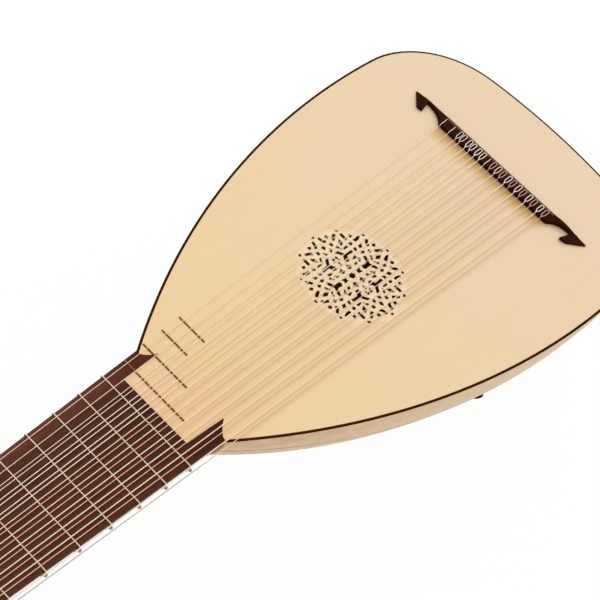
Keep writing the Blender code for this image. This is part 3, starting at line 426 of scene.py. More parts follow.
def gut_finish(name, colour, roughness=0.42):
    """Twisted gut: slightly cloudy, with a fine ridge along the twist."""
    finish = Finish(name, roughness, specular=0.8, coat=0.3)
    cloud = finish.node("ShaderNodeTexNoise", {"Vector": finish.place, "Scale": 260.0,
                                               "Detail": 3.0}).outputs[0]
    twist = finish.node("ShaderNodeTexNoise", {"Vector": finish.place, "Scale": 2600.0,
                                               "Detail": 2.0}).outputs[0]
    base = finish.mix(finish.range(cloud, 0.4, 0.65), times(colour, 0.93, 0.9, 0.85), colour)
    fine = finish.mix(finish.range(twist, 0.45, 0.7, 0.0, 0.3), base, times(colour, 0.88, 0.82, 0.74))
    over_board, over_neck = GUT_PAINTED_TINTS.get(name, (None, None))
    # Painted tints by where the string lies
    if over_board:
        fine = finish.mix(1.0, fine, finish.ramp(finish.along(370, 430), [
            (0.0, over_board), (1.0, over_neck)]), "MULTIPLY")
    if name == "amber_gut":
        # Painted shade: the outermost amber string turns grey where it runs past the fingerboard's bass edge
        aside = finish.node("ShaderNodeSeparateXYZ", {0: finish.place}).outputs[0]
        outer = finish.math("MULTIPLY", finish.range(aside, HOME.x - 49 * MM, HOME.x - 47 * MM, 1, 0),
                            finish.along(425, 440))
        fine = finish.mix(outer, fine, times(colour, 0.42, 0.5, 0.65))
    finish.shader.inputs["Sheen Weight"].default_value = 0.6
    finish.shader.inputs["Sheen Roughness"].default_value = 0.35
    return finish.colour(fine).rough(cloud, roughness - 0.06, roughness + 0.06).bump(twist, 0.02 * MM).made


def bone_finish(colour):
    """Polished bone with faint pores along its length."""
    finish = Finish("bone", 0.3)
    grain = finish.streaks(900, 25, "X")
    base = finish.mix(finish.range(grain, 0.42, 0.7), colour, times(colour, 0.9, 0.86, 0.78))
    return finish.colour(base).rough(grain, 0.26, 0.38).bump(grain, 0.01 * MM, 0.4).made


FINISHES = {}


def make_finishes(look):
    FINISHES.update(
        spruce=spruce_finish(look.spruce), lining_wood=spruce_finish(times(look.spruce, 0.85)),
        maple=maple_finish(look.maple), rosewood=rosewood_finish(look.rosewood),
        bridge=rosewood_finish(times(look.rosewood, 0.27, 0.20, 0.12), "bridge_wood", "X", 0.01),
        # Painted highlight: a lighter copy of the bridge wood for the sloping strip along its back
        bridge_strip=rosewood_finish(times(look.rosewood, 1.05, 1.75, 1.9), "bridge_strip", "X"),
        fret_wood=rosewood_finish(times(look.rosewood, 2.3, 3.0, 2.0), "fret_wood", "X"),
        point_fret_wood=rosewood_finish(times(look.rosewood, 2.4, 2.9, 3.8), "pale_fret_wood", "X"),
        ebony=edging_finish(look.edging), bone=bone_finish(look.bone), gut=gut_finish("gut", look.gut),
        knot=gut_finish("singed_gut", look.knot, 0.6), string_pale=gut_finish("pale_gut", look.pale),
        string_amber=gut_finish("amber_gut", look.amber),
        # Painted light and shade on the ties: the same gut made whiter for the pale ties and darker for the
        # amber ties
        tie_pale=gut_finish("pale_tie_lit", times(look.pale, 1.0, 1.07, 1.2)),
        tie_amber=gut_finish("amber_tie_shaded", times(look.amber, 0.85, 0.68, 0.7)),
        joint=edging_finish(times(look.maple, 0.47, 0.33, 0.24)))


def add_mesh(name, verts, faces, finishes=(), picks=None, smooth=None):
    """An object at the origin from points in the lute's millimetres, its faces turned outwards."""
    mesh = bpy.data.meshes.new(name)
    mesh.from_pydata([HOME + Vector(v) * MM for v in verts], [], faces)
    for finish in finishes:
        mesh.materials.append(FINISHES[finish])
    if picks:
        mesh.polygons.foreach_set("material_index", picks)
    work = bmesh.new()
    work.from_mesh(mesh)
    bmesh.ops.recalc_face_normals(work, faces=work.faces)
    work.to_mesh(mesh)
    work.free()
    if smooth is not None:
        mesh.shade_smooth()
        mesh.set_sharp_from_angle(angle=math.radians(smooth))
    return add_object(name, mesh)


def add_object(name, mesh):
    made = bpy.data.objects.new(name, mesh)
    bpy.context.scene.collection.objects.link(made)
    return made


def settle(piece, body="root", nodes=()):
    """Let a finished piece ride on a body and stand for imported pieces."""
    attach(piece, body)
    if nodes:
        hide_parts(*nodes)
    return piece


def loft(rings, closed=False):
    """Vertices and faces of a tube through rings of equal length, with ends or closed on itself."""
    verts = [v for ring in rings for v in ring]
    count = len(rings[0])
    total = len(verts)
    faces = []
    for r in range(len(rings) if closed else len(rings) - 1):
        for c in range(count):
            a = r * count + c
            b = r * count + (c + 1) % count
            faces.append((a, b, (b + count) % total, (a + count) % total))
    if not closed:
        faces += [tuple(range(count)), tuple(range(total - count, total))]
    return verts, faces


def prism(outline, low, high):
    return loft([[(x, y, low) for x, y in outline], [(x, y, high) for x, y in outline]])


def join(shapes):
    """Several shapes as one list of vertices and faces."""
    verts, faces = [], []
    for more_verts, more_faces in shapes:
        start = len(verts)
        verts += more_verts
        faces += [tuple(i + start for i in face) for face in more_faces]
    return verts, faces


def lerp(a, b, t):
    return a + (b - a) * t


def round_edges(piece, width, angle=40, segments=2):
    """Round off a piece's sharp edges a little."""
    change = piece.modifiers.new("round_edges", "BEVEL")
    change.width = width * MM
    change.segments = segments
    change.limit_method = "ANGLE"
    change.angle_limit = math.radians(angle)
    change.harden_normals = False
    return piece


def softened(name, node, width, finish, angle=50):
    """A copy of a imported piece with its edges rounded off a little."""
    work = bmesh.new()
    work.from_mesh(frame["nodes"][node].data)
    bmesh.ops.remove_doubles(work, verts=work.verts, dist=0.001 * MM)
    bmesh.ops.dissolve_limit(work, angle_limit=math.radians(1), verts=work.verts, edges=work.edges)
    mesh = bpy.data.meshes.new(name)
    work.to_mesh(mesh)
    work.free()
    mesh.materials.clear()
    mesh.materials.append(FINISHES[finish])
    return round_edges(add_object(name, mesh), width, angle)


def corner_centre():
    """The centre of the lower corner's arc, tangent to the side's and the tail's arcs."""
    side = Vector((HALF_WIDTH - SIDE_RADIUS, WIDEST_Y))
    tail = Vector((0, TAIL_Y + TAIL_RADIUS))
    from_side = SIDE_RADIUS - CORNER_RADIUS
    from_tail = TAIL_RADIUS - CORNER_RADIUS
    apart = tail - side
    along = (from_side ** 2 - from_tail ** 2 + apart.length ** 2) / (2 * apart.length)
    across = math.sqrt(from_side ** 2 - along ** 2)
    unit = apart.normalized()
    return side + unit * along + Vector((unit.y, -unit.x)) * across


def side_x(y, inset=0.0):
    """The outline's half width at a place above the widest point."""
    return HALF_WIDTH - SIDE_RADIUS + math.sqrt((SIDE_RADIUS - inset) ** 2 - (y - WIDEST_Y) ** 2)


def half_outline(inset, stop_y):
    """Treble half of the outline drawn in by inset, from the tail's middle to stop_y."""
    side = Vector((HALF_WIDTH - SIDE_RADIUS, WIDEST_Y))
    tail = Vector((0, TAIL_Y + TAIL_RADIUS))
    centre = corner_centre()
    to_tail = centre - tail
    to_side = centre - side
    tail_turn = math.atan2(to_tail.y, to_tail.x)
    side_turn = math.atan2(to_side.y, to_side.x)
    stop_turn = math.asin((stop_y - WIDEST_Y) / (SIDE_RADIUS - inset))
    arcs = ((tail, TAIL_RADIUS, -math.pi / 2, tail_turn), (centre, CORNER_RADIUS, tail_turn, side_turn),
            (side, SIDE_RADIUS, side_turn, stop_turn))
    points = []
    for (middle, radius, first, last), steps in zip(arcs, OUTLINE_STEPS):
        for i in range(steps):
            turn = lerp(first, last, i / steps)
            points.append((middle.x + (radius - inset) * math.cos(turn),
                           middle.y + (radius - inset) * math.sin(turn)))
    points.append((side_x(stop_y, inset), stop_y))
    return points


def board_edges(y):
    """Treble and bass edges of the fingerboard at a place along the neck."""
    along = (y - JOINT_Y) / (NUT_Y - JOINT_Y)
    return lerp(TREBLE_AT_JOINT, TREBLE_AT_NUT, along), lerp(BASS_AT_JOINT, BASS_AT_NUT, along)


def neck_depth(y):
    """Depth of the neck's round back below its flat top, with the heel at the body."""
    straight = lerp(*NECK_DEPTHS, (y - JOINT_Y) / (NUT_Y - JOINT_Y))
    heel = max(0.0, 1 - (y - JOINT_Y) / HEEL_LENGTH)
    full = (TREBLE_AT_JOINT - BASS_AT_JOINT) / 2
    return straight + (full - straight) * heel ** 2 * (3 - 2 * heel)


def neck_section(y, sides, spread=0.0):
    """The round back's outline at a place along the neck, from the treble edge to the bass edge."""
    treble, bass = board_edges(y)
    centre = (treble + bass) / 2
    half = (treble - bass) / 2 + spread
    deep = neck_depth(y) + spread
    turns = [math.pi * j / sides for j in range(sides + 1)]
    return [(centre + half * math.cos(turn), y, RIM_Z - deep * math.sin(turn)) for turn in turns]


def fret_y(number):
    """A fret's place, counted from the nut, in equal semitones."""
    return NUT_Y * 2 ** (-number / 12)


def enter_tree(name, inputs):
    """A node tree that takes and gives geometry, with named inputs."""
    tree = bpy.data.node_groups.new(name, "GeometryNodeTree")
    for label, kind, default in [("Geometry", "Geometry", None)] + inputs:
        made = tree.interface.new_socket(label, in_out="INPUT", socket_type="NodeSocket" + kind)
        if default is not None:
            made.default_value = default
    tree.interface.new_socket("Geometry", in_out="OUTPUT", socket_type="NodeSocketGeometry")
    return tree, tree.nodes.new("NodeGroupInput"), tree.nodes.new("NodeGroupOutput")


def chain(tree, kind, links, **settings):
    """A node with some of its inputs linked to sockets or set to values."""
    made = tree.nodes.new(kind)
    for key, value in settings.items():
        setattr(made, key, value)
    for key, value in links.items():
        for source in value if isinstance(value, list) else [value]:
            if isinstance(source, bpy.types.NodeSocket):
                tree.links.new(source, made.inputs[key])
            else:
                made.inputs[key].default_value = source
    return made.outputs[0]


def cord_tree():
    """Round cords along edges, each point as thick as its own attribute says."""
    tree, enter, leave = enter_tree("gut_cord", [("Sides", "Int", 10), ("Finish", "Material", None)])
    curve = chain(tree, "GeometryNodeMeshToCurve", {"Mesh": enter.outputs["Geometry"]})
    thickness = chain(tree, "GeometryNodeInputNamedAttribute", {"Name": "thickness"}, data_type="FLOAT")
    circle = chain(tree, "GeometryNodeCurvePrimitiveCircle",
                   {"Resolution": enter.outputs["Sides"], "Radius": 1.0})
    tube = chain(tree, "GeometryNodeCurveToMesh",
                 {"Curve": curve, "Profile Curve": circle, "Scale": thickness, "Fill Caps": True})
    smooth = chain(tree, "GeometryNodeSetShadeSmooth", {"Geometry": tube})
    solid = chain(tree, "GeometryNodeRealizeInstances", {"Geometry": smooth})
    painted = chain(tree, "GeometryNodeSetMaterial",
                    {"Geometry": solid, "Material": enter.outputs["Finish"]})
    tree.links.new(painted, leave.inputs[0])
    return tree


def rose_tree():
    """A soundboard pierced by a sector of openings that repeats round the rose's centre."""
    tree, enter, leave = enter_tree("pierced_rose", [
        ("Openings", "Object", None), ("Middle", "Object", None), ("Pocket", "Object", None),
        ("Repeats", "Int", 6), ("Centre", "Vector", None), ("Finish", "Material", None)])
    shapes = {label: chain(tree, "GeometryNodeObjectInfo", {"Object": enter.outputs[label]})
              for label in ("Openings", "Middle", "Pocket")}
    shapes = {label: socket.node.outputs["Geometry"] for label, socket in shapes.items()}
    points = chain(tree, "GeometryNodePoints",
                   {"Count": enter.outputs["Repeats"], "Position": enter.outputs["Centre"]})
    index = chain(tree, "GeometryNodeInputIndex", {})
    step = chain(tree, "ShaderNodeMath", {0: math.tau, 1: enter.outputs["Repeats"]}, operation="DIVIDE")
    turn = chain(tree, "ShaderNodeMath", {0: index, 1: step}, operation="MULTIPLY")
    turned = chain(tree, "ShaderNodeCombineXYZ", {"Z": turn})
    copies = chain(tree, "GeometryNodeInstanceOnPoints",
                   {"Points": points, "Instance": shapes["Openings"], "Rotation": turned})
    cutters = chain(tree, "GeometryNodeRealizeInstances", {"Geometry": copies})
    thinned = chain(tree, "GeometryNodeMeshBoolean",
                    {"Mesh 1": enter.outputs["Geometry"], "Mesh 2": shapes["Pocket"]},
                    operation="DIFFERENCE", solver="EXACT")
    pierced = chain(tree, "GeometryNodeMeshBoolean",
                    {"Mesh 1": thinned, "Mesh 2": [cutters, shapes["Middle"]]},
                    operation="DIFFERENCE", solver="EXACT")
    solid = chain(tree, "GeometryNodeRealizeInstances", {"Geometry": pierced})
    painted = chain(tree, "GeometryNodeSetMaterial",
                    {"Geometry": solid, "Material": enter.outputs["Finish"]})
    tree.links.new(painted, leave.inputs[0])
    return tree


def through(tree, source, name, values):
    """The plain mesh that a node tree makes of an object, as an object of its own."""
    change = source.modifiers.new(tree.name, "NODES")
    change.node_group = tree
    for socket in tree.interface.items_tree:
        if socket.in_out == "INPUT" and socket.name in values:
            change[socket.identifier] = values[socket.name]
    graph = bpy.context.evaluated_depsgraph_get()
    graph.update()
    mesh = bpy.data.meshes.new_from_object(source.evaluated_get(graph), depsgraph=graph)
    mesh.name = name
    old = source.data
    bpy.data.objects.remove(source)
    bpy.data.meshes.remove(old)
    return add_object(name, mesh)


def cords(name, runs, finish):
    """Round cords along runs of points. Each run is its points, its radius and whether it is closed."""
    verts, edges, thickness = [], [], []
    for points, radius, closed in runs:
        start = len(verts)
        verts += [HOME + Vector(p) * MM for p in points]
        thickness += [radius * MM] * len(points)
        edges += [(i, i + 1) for i in range(start, len(verts) - 1)]
        if closed:
            edges.append((len(verts) - 1, start))
    mesh = bpy.data.meshes.new(name + "_path")
    mesh.from_pydata(verts, edges, [])
    mesh.attributes.new("thickness", "FLOAT", "POINT").data.foreach_set("value", thickness)
    tree = bpy.data.node_groups.get("gut_cord") or cord_tree()
    sides = bpy.context.scene.lute_sizes.cord_sides
    return through(tree, add_object(name + "_path", mesh), name,
                   {"Sides": sides, "Finish": FINISHES[finish]})


def smooth_run(points, steps=4, closed=False):
    """A curve through points, with steps spans between each two."""
    points = [Vector(p) for p in points]
    count = len(points)
    run = []
    for i in range(count if closed else count - 1):
        if closed:
            a, b, c, d = (points[(i + k) % count] for k in (-1, 0, 1, 2))
        else:
            a, b, c, d = (points[min(max(i + k, 0), count - 1)] for k in (-1, 0, 1, 2))
        for k in range(steps):
            t = k / steps
            run.append(0.5 * (2 * b + (c - a) * t + (2 * a - 5 * b + 4 * c - d) * t * t
                              + (3 * b - a - 3 * c + d) * t ** 3))
    return run if closed else run + [points[-1]]


def read_strings():
    """Each string's radius and its places at the bridge, the nut and its peg, highest peg first."""
    found = []
    for name, piece in frame["nodes"].items():
        if not name.startswith("string_"):
            continue
        points = [local(v.co) for v in piece.data.vertices]
        lowest = min(p.z for p in points)
        places = []
        for chosen in ([p for p in points if abs(p.y - BRIDGE_FRONT_Y) < 1],
                       [p for p in points if abs(p.y - NUT_Y) < 1 and p.z > 0],
                       [p for p in points if p.z < lowest + 1]):
            chosen = list({tuple(round(c, 2) for c in p) for p in chosen})
            places.append(sum((Vector(p) for p in chosen), Vector()) / len(chosen))
            if len(places) == 1:
                radius = (max(p[2] for p in chosen) - min(p[2] for p in chosen)) / 2
        found.append((name, radius, *places))
    return sorted(found, key=lambda row: -row[4].z)


class LUTE_OT_woods(bpy.types.Operator):
    """Make the woods, gut and bone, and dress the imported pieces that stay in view"""
    bl_idname = "lute.woods"
    bl_label = "Woods and gut"

    def execute(self, context):
        make_finishes(context.scene.lute_colours)
        for row in frame["record"]["subparts"]:
            piece = frame["nodes"][row["node"]]
            piece.data.materials.clear()
            piece.data.materials.append(FINISHES[row["material_slot"]])
        return {"FINISHED"}


class LUTE_OT_bowl(bpy.types.Operator):
    """Build the bowl of eleven ribs with a fine dark line in each joint"""
    bl_idname = "lute.bowl"
    bl_label = "Bowl"

    def execute(self, context):
        sizes = context.scene.lute_sizes
        line = sizes.joint_line / MM / 2
        outer = self.rows(half_outline(0, JOINT_Y), sizes.rib_crown / MM, line)
        inner = self.rows(half_outline(RIB_THICKNESS, JOINT_Y), 0.0, line)
        verts, index, faces, picks = [], {}, [], []
        for which, rows in enumerate((outer, inner)):
            for r, row in enumerate(rows):
                for c, v in enumerate(row):
                    if r == 0 and c:
                        index[which, r, c] = index[which, 0, 0]
                    else:
                        index[which, r, c] = len(verts)
                        verts.append(v)
        last, columns = len(outer) - 1, len(outer[0]) - 1
        for r in range(last):
            for c in range(columns):
                lined = c % self.SPANS == self.SPANS - 1 and c < columns - 1
                for which in (0, 1):
                    self.add_face(faces, picks, index, which, r, c, int(lined and which == 0))
            for c in (0, columns):
                ring = (index[0, r, c], index[0, r + 1, c], index[1, r + 1, c], index[1, r, c])
                faces.append(tuple(dict.fromkeys(ring)))
                picks.append(0)
        for c in range(columns):
            faces.append((index[0, last, c], index[0, last, c + 1], index[1, last, c + 1],
                          index[1, last, c]))
            picks.append(0)
        bowl = add_mesh("ribbed_bowl", verts, faces, ("maple", "joint"), picks, smooth=12)
        settle(bowl, nodes=("bowl",))
        return {"FINISHED"}

    SPANS = 6

    def add_face(self, faces, picks, index, which, r, c, pick):
        ring = [index[which, a, b] for a, b in ((r, c), (r, c + 1), (r + 1, c + 1), (r + 1, c))]
        faces.append(tuple(dict.fromkeys(ring)))
        picks.append(pick)

    def rows(self, points, crown, line):
        """Rows round the half turn. A rib's inner stations are the same on every rib."""
        rows = []
        for x, y in points:
            chord = max(2 * x * math.sin(math.pi / RIBS / 2), 0.001)
            edge = min(line / chord, 0.12)
            row = []
            for rib in range(RIBS):
                first, last = (Vector((x * math.cos(turn), y, RIM_Z - x * math.sin(turn)))
                               for turn in (math.pi * rib / RIBS, math.pi * (rib + 1) / RIBS))
                middle = math.pi * (rib + 0.5) / RIBS
                out = Vector((math.cos(middle), 0, -math.sin(middle)))
                swell = crown * min(1.0, chord / 15)
                for share in (0 if rib == 0 else edge, 0.2, 0.4, 0.6, 0.8, 1 if rib == RIBS - 1 else 1 - edge):
                    row.append(first.lerp(last, share) + out * swell * 4 * share * (1 - share))
            row[0].z = row[-1].z = -BINDING_DROP - SEAM
            rows.append(row)
        return rows


class LUTE_OT_soundboard(bpy.types.Operator):
    """Build the soundboard with its carved rose, its bars, the body frets and the dark binding"""
    bl_idname = "lute.soundboard"
    bl_label = "Soundboard"

    def execute(self, context):
        board = add_mesh("board_blank", *prism(self.outline(), -BOARD_THICKNESS, 0))
        sector = add_mesh("rose_sector", *join(self.opening(shape) for shape in self.sector()))
        sector.data.transform(Matrix.Translation(-HOME))
        turns = [math.pi * k / 6 for k in range(12)]
        star = [(ROSE_MIDDLE[k % 2] * math.sin(turn), ROSE_MIDDLE[k % 2] * math.cos(turn))
                for k, turn in enumerate(turns)]
        middle = add_mesh("rose_middle", *join([self.opening(star), self.groove()]))
        rounds = [math.tau * k / 60 for k in range(60)]
        circle = [(ROSE_POCKET[0] * math.cos(turn), ROSE_POCKET[0] * math.sin(turn)) for turn in rounds]
        pocket = add_mesh("rose_pocket", *prism(circle, -2 * BOARD_THICKNESS, ROSE_POCKET[1]))
        for tool in (middle, pocket):
            tool.data.transform(Matrix.Translation(Vector((*ROSE_CENTRE, 0)) * MM))
        centre = HOME + Vector((*ROSE_CENTRE, 0)) * MM
        pierced = through(rose_tree(), board, "carved_soundboard", {
            "Openings": sector, "Middle": middle, "Pocket": pocket, "Repeats": ROSE_REPEATS,
            "Centre": centre, "Finish": FINISHES["spruce"]})
        for tool in (sector, middle, pocket):
            bpy.data.objects.remove(tool)
        settle(pierced, nodes=("soundboard",))
        self.add_bars()
        self.add_body_frets()
        self.add_binding()
        return {"FINISHED"}

    def outline(self):
        """The soundboard's edge, with the tongue that runs into the fingerboard."""
        treble = half_outline(BINDING_WIDTH + SEAM, JOINT_Y - 2 * GAP)
        points = list(treble)
        points += self.point_arc(POINT_TIP_TREBLE, side_x(JOINT_Y, POINT_START_INSET))[1:]
        points += [(POINT_TIP_TREBLE - 2 * GAP, POINT_TIP_Y - GAP), (TONGUE_TREBLE - GAP, TONGUE_END_Y),
                   (TONGUE_BASS + GAP, TONGUE_END_Y), (POINT_TIP_BASS + 2 * GAP, POINT_TIP_Y - GAP)]
        points += self.point_arc(POINT_TIP_BASS, -side_x(JOINT_Y, POINT_START_INSET))[:0:-1]
        return points + [(-x, y) for x, y in treble[:0:-1]]

    def point_arc(self, tip_x, joint_x):
        """The curve between a shoulder and a fingerboard point's tip, a little way off the point."""
        start, tip = Vector((joint_x, JOINT_Y)), Vector((tip_x, POINT_TIP_Y))
        chord = tip - start
        half = chord.length / 2
        radius = (half ** 2 + POINT_SAGITTA ** 2) / (2 * POINT_SAGITTA)
        normal = Vector((-chord.y, chord.x)).normalized()
        if normal.x * joint_x > 0:
            normal = -normal
        centre = (start + tip) / 2 + normal * (POINT_SAGITTA - radius)
        first, last = start - centre, tip - centre
        turn = -first.angle_signed(last)
        points = []
        for i in range(9):
            arm = Matrix.Rotation(turn * i / 8, 2) @ first * ((radius - GAP) / radius)
            points.append(tuple(centre + arm))
        return points

    def sector(self):
        """One sixth of the rose's openings, as outlines round its centre."""
        shapes = []
        for half in ROSE_ACROSS_Y:
            shapes.append(half + [(-x, y) for x, y in half[::-1] if x])
        for half in ROSE_ACROSS_X:
            shapes.append(half + [(x, -y) for x, y in half[::-1] if y])
        for shape in ROSE_PAIRS:
            shapes += [shape, [(-x, y) for x, y in shape]]
        return shapes

    def opening(self, outline):
        """A cutter that leaves a small bevel at the face and a thin wall below it."""
        rings = []
        for grow, z in ((0.62, 0.3), (0.34, 0.0), (0.28, -0.15), (0.5, -2.4)):
            rings.append([(x, y, z) for x, y in grown(outline, grow)])
        return loft(rings)

    def groove(self):
        """A cutter for the fine line round the rose."""
        inner, outer, deep = ROSE_GROOVE
        rings = []
        for k in range(120):
            turn = math.tau * k / 120
            rings.append([(reach * math.cos(turn), reach * math.sin(turn), z)
                          for reach, z in ((inner, 0.3), (outer, 0.3), (outer, -deep), (inner, -deep))])
        return loft(rings, closed=True)

    def add_bars(self):
        """Bars glued across the inside, cut down towards their ends."""
        shapes = []
        for y in BARS:
            half = side_x(y) - 9
            rings = []
            for share, deep in ((-1, 5), (-0.86, 14), (0.86, 14), (1, 5)):
                x = half * share
                top, low = -BOARD_THICKNESS, -BOARD_THICKNESS - deep
                rings.append([(x, y - 2.5, top), (x, y + 2.5, top), (x, y + 2.5, low + 1.5),
                              (x, y + 1.2, low), (x, y - 1.2, low), (x, y - 2.5, low + 1.5)])
            shapes.append(loft(rings))
        settle(add_mesh("soundboard_bars", *join(shapes), ["lining_wood"]))

    def add_body_frets(self):
        """Slips of hard wood glued to the soundboard, and one on the fingerboard's point."""
        shapes = [self.slip(number, low, high, 0.0) for number, low, high in BODY_FRETS]
        settle(add_mesh("body_frets", *join(shapes), ["fret_wood"], smooth=60))
        on_point = self.slip(*POINT_FRET, FINGERBOARD_TOP)
        settle(add_mesh("point_fret", *on_point, ["point_fret_wood"], smooth=60))

    def slip(self, number, low, high, base):
        y = fret_y(number)
        rings = []
        for x, rise in ((low, 0.45), (low + 0.6, 0.8), (high - 0.6, 0.8), (high, 0.45)):
            ring = [(x, y + 0.8, base)]
            for k in range(7):
                turn = math.pi * k / 6
                ring.append((x, y + 0.8 * math.cos(turn), base + 0.2 + (rise - 0.2) * math.sin(turn)))
            rings.append(ring + [(x, y - 0.8, base)])
        return loft(rings)

    def add_binding(self):
        """The dark edging let in round the soundboard's edge."""
        stop = JOINT_Y - GAP
        section = ((0.0, -0.25), (0.25, 0.0), (BINDING_WIDTH, 0.0), (BINDING_WIDTH, -BINDING_DROP),
                   (0.0, -BINDING_DROP))
        halves = [(half_outline(inset, stop), z) for inset, z in section]
        rings = []
        for sign, places in ((1, range(len(halves[0][0]) - 1, -1, -1)), (-1, range(1, len(halves[0][0])))):
            rings += [[(sign * points[i][0], points[i][1], z) for points, z in halves] for i in places]
        binding = add_mesh("dark_binding", *loft(rings), ["ebony"], smooth=30)
        settle(binding, nodes=("edge_binding",))


def grown(outline, distance):
    """An outline moved outwards by a distance, corners kept."""
    points = [Vector(p) for p in outline]
    area = sum(a.cross(b) for a, b in zip(points, points[1:] + points[:1]))
    sign = 1 if area > 0 else -1
    moved = []
    for i, point in enumerate(points):
        before = (point - points[i - 1]).normalized()
        after = (points[(i + 1) % len(points)] - point).normalized()
        first = Vector((before.y, -before.x)) * sign
        second = Vector((after.y, -after.x)) * sign
        moved.append(point + (first + second) * (distance / max(1 + first.dot(second), 0.5)))
    return [tuple(p) for p in moved]


class LUTE_OT_neck(bpy.types.Operator):
    """Build the round neck, and soften the fingerboard, the nut, the pegbox and the end clasp"""
    bl_idname = "lute.neck"
    bl_label = "Neck and pegbox"

    def execute(self, context):
        start = JOINT_Y + GAP
        end = local(corner("neck", 1)).y
        lip_z = RIM_Z - 8.3
        box_back = local(corner("pegbox", 0)).y
        places = [start + HEEL_LENGTH * k / 10 for k in range(10)]
        places += [lerp(start + HEEL_LENGTH, box_back - 2, k / 8) for k in range(9)]
        neck = loft([neck_section(y, 36) for y in places])
        profile = [(box_back - 6, RIM_Z - 0.01, 2.0), (end, RIM_Z - 0.01, 0.0), (end - 5.5, lip_z, 1.0),
                   (box_back - 6, lip_z, 2.0)]
        lip = loft([[(board_edges(y)[side] + inward * draw, y, z) for y, z, draw in profile]
                    for side, inward in ((0, -1), (1, 1))])
        piece = add_mesh("round_neck", *join([neck, lip]), ["rosewood"], smooth=40)
        settle(piece, nodes=("neck",))
        for name, node, width, finish in (("fingerboard_plate", "fingerboard", 0.12, "rosewood"),
                                          ("string_nut", "nut", 0.12, "bone"),
                                          ("bent_pegbox", "pegbox", 0.7, "rosewood"),
                                          ("tail_clasp", "end_clasp", 0.35, "maple")):
            settle(softened(name, node, width, finish), nodes=(node,))
        return {"FINISHED"}


class LUTE_OT_bridge(bpy.types.Operator):
    """Build the bridge with its curved arms and points, drilled for the strings"""
    bl_idname = "lute.bridge"
    bl_label = "Bridge"

    def execute(self, context):
        rings = []
        for sign, order in ((-1, BRIDGE_BASS[::-1]), (1, BRIDGE_TREBLE)):
            for back, front, depth, height in order:
                rings.append(self.ring(BRIDGE_MIDDLE_X + sign * (BRIDGE_HALF_BLOCK + back),
                                       BRIDGE_MIDDLE_X + sign * (BRIDGE_HALF_BLOCK + front), depth, height))
        verts, faces = loft(rings)
        middle = 6 * (len(BRIDGE_BASS) - 1)
        # The sloping strip's faces take the painted highlight
        picks = [int(face == middle + 3) for face in range(len(faces))]
        bridge = add_mesh("string_bridge", verts, faces, ["bridge", "bridge_strip"], picks)
        holes = []
        for _, radius, at_bridge, at_nut, _ in read_strings():
            along = (at_nut - at_bridge) / (at_nut.y - at_bridge.y)
            ends = [at_bridge + along * (y - at_bridge.y) for y in (BRIDGE_BACK_Y - 2, BRIDGE_FRONT_Y + 2)]
            holes.append((ends, radius + GAP, False))
        drill = cords("string_holes", holes, "bridge")
        cut = bridge.modifiers.new("string_holes", "BOOLEAN")
        cut.operation, cut.solver, cut.object = "DIFFERENCE", "EXACT", drill
        graph = bpy.context.evaluated_depsgraph_get()
        mesh = bpy.data.meshes.new_from_object(bridge.evaluated_get(graph), depsgraph=graph)
        for old in (bridge, drill):
            bpy.data.objects.remove(old)
        settle(round_edges(add_object("string_bridge", mesh), 0.3, 35), nodes=("bridge",))
        return {"FINISHED"}

    def ring(self, back_x, front_x, depth, height):
        """A section across the bridge, with a sloping strip along the back of its top."""
        front_y = BRIDGE_BACK_Y + depth
        reach = abs(back_x - BRIDGE_MIDDLE_X) - BRIDGE_HALF_BLOCK
        share = min(depth / 6.5, 1) * (1 - 0.7 * min(reach / 24, 1))
        wide, narrow, drop, low = (share * size for size in BRIDGE_STRIP)

        def spot(y, z):
            share = (y - BRIDGE_BACK_Y) / depth
            return (lerp(back_x, front_x, share), y, z)

        return [spot(BRIDGE_BACK_Y, GAP / 2), spot(front_y, GAP / 2), spot(front_y, height),
                spot(BRIDGE_BACK_Y + wide, height), spot(BRIDGE_BACK_Y + narrow, height - drop),
                spot(BRIDGE_BACK_Y, height - low)]


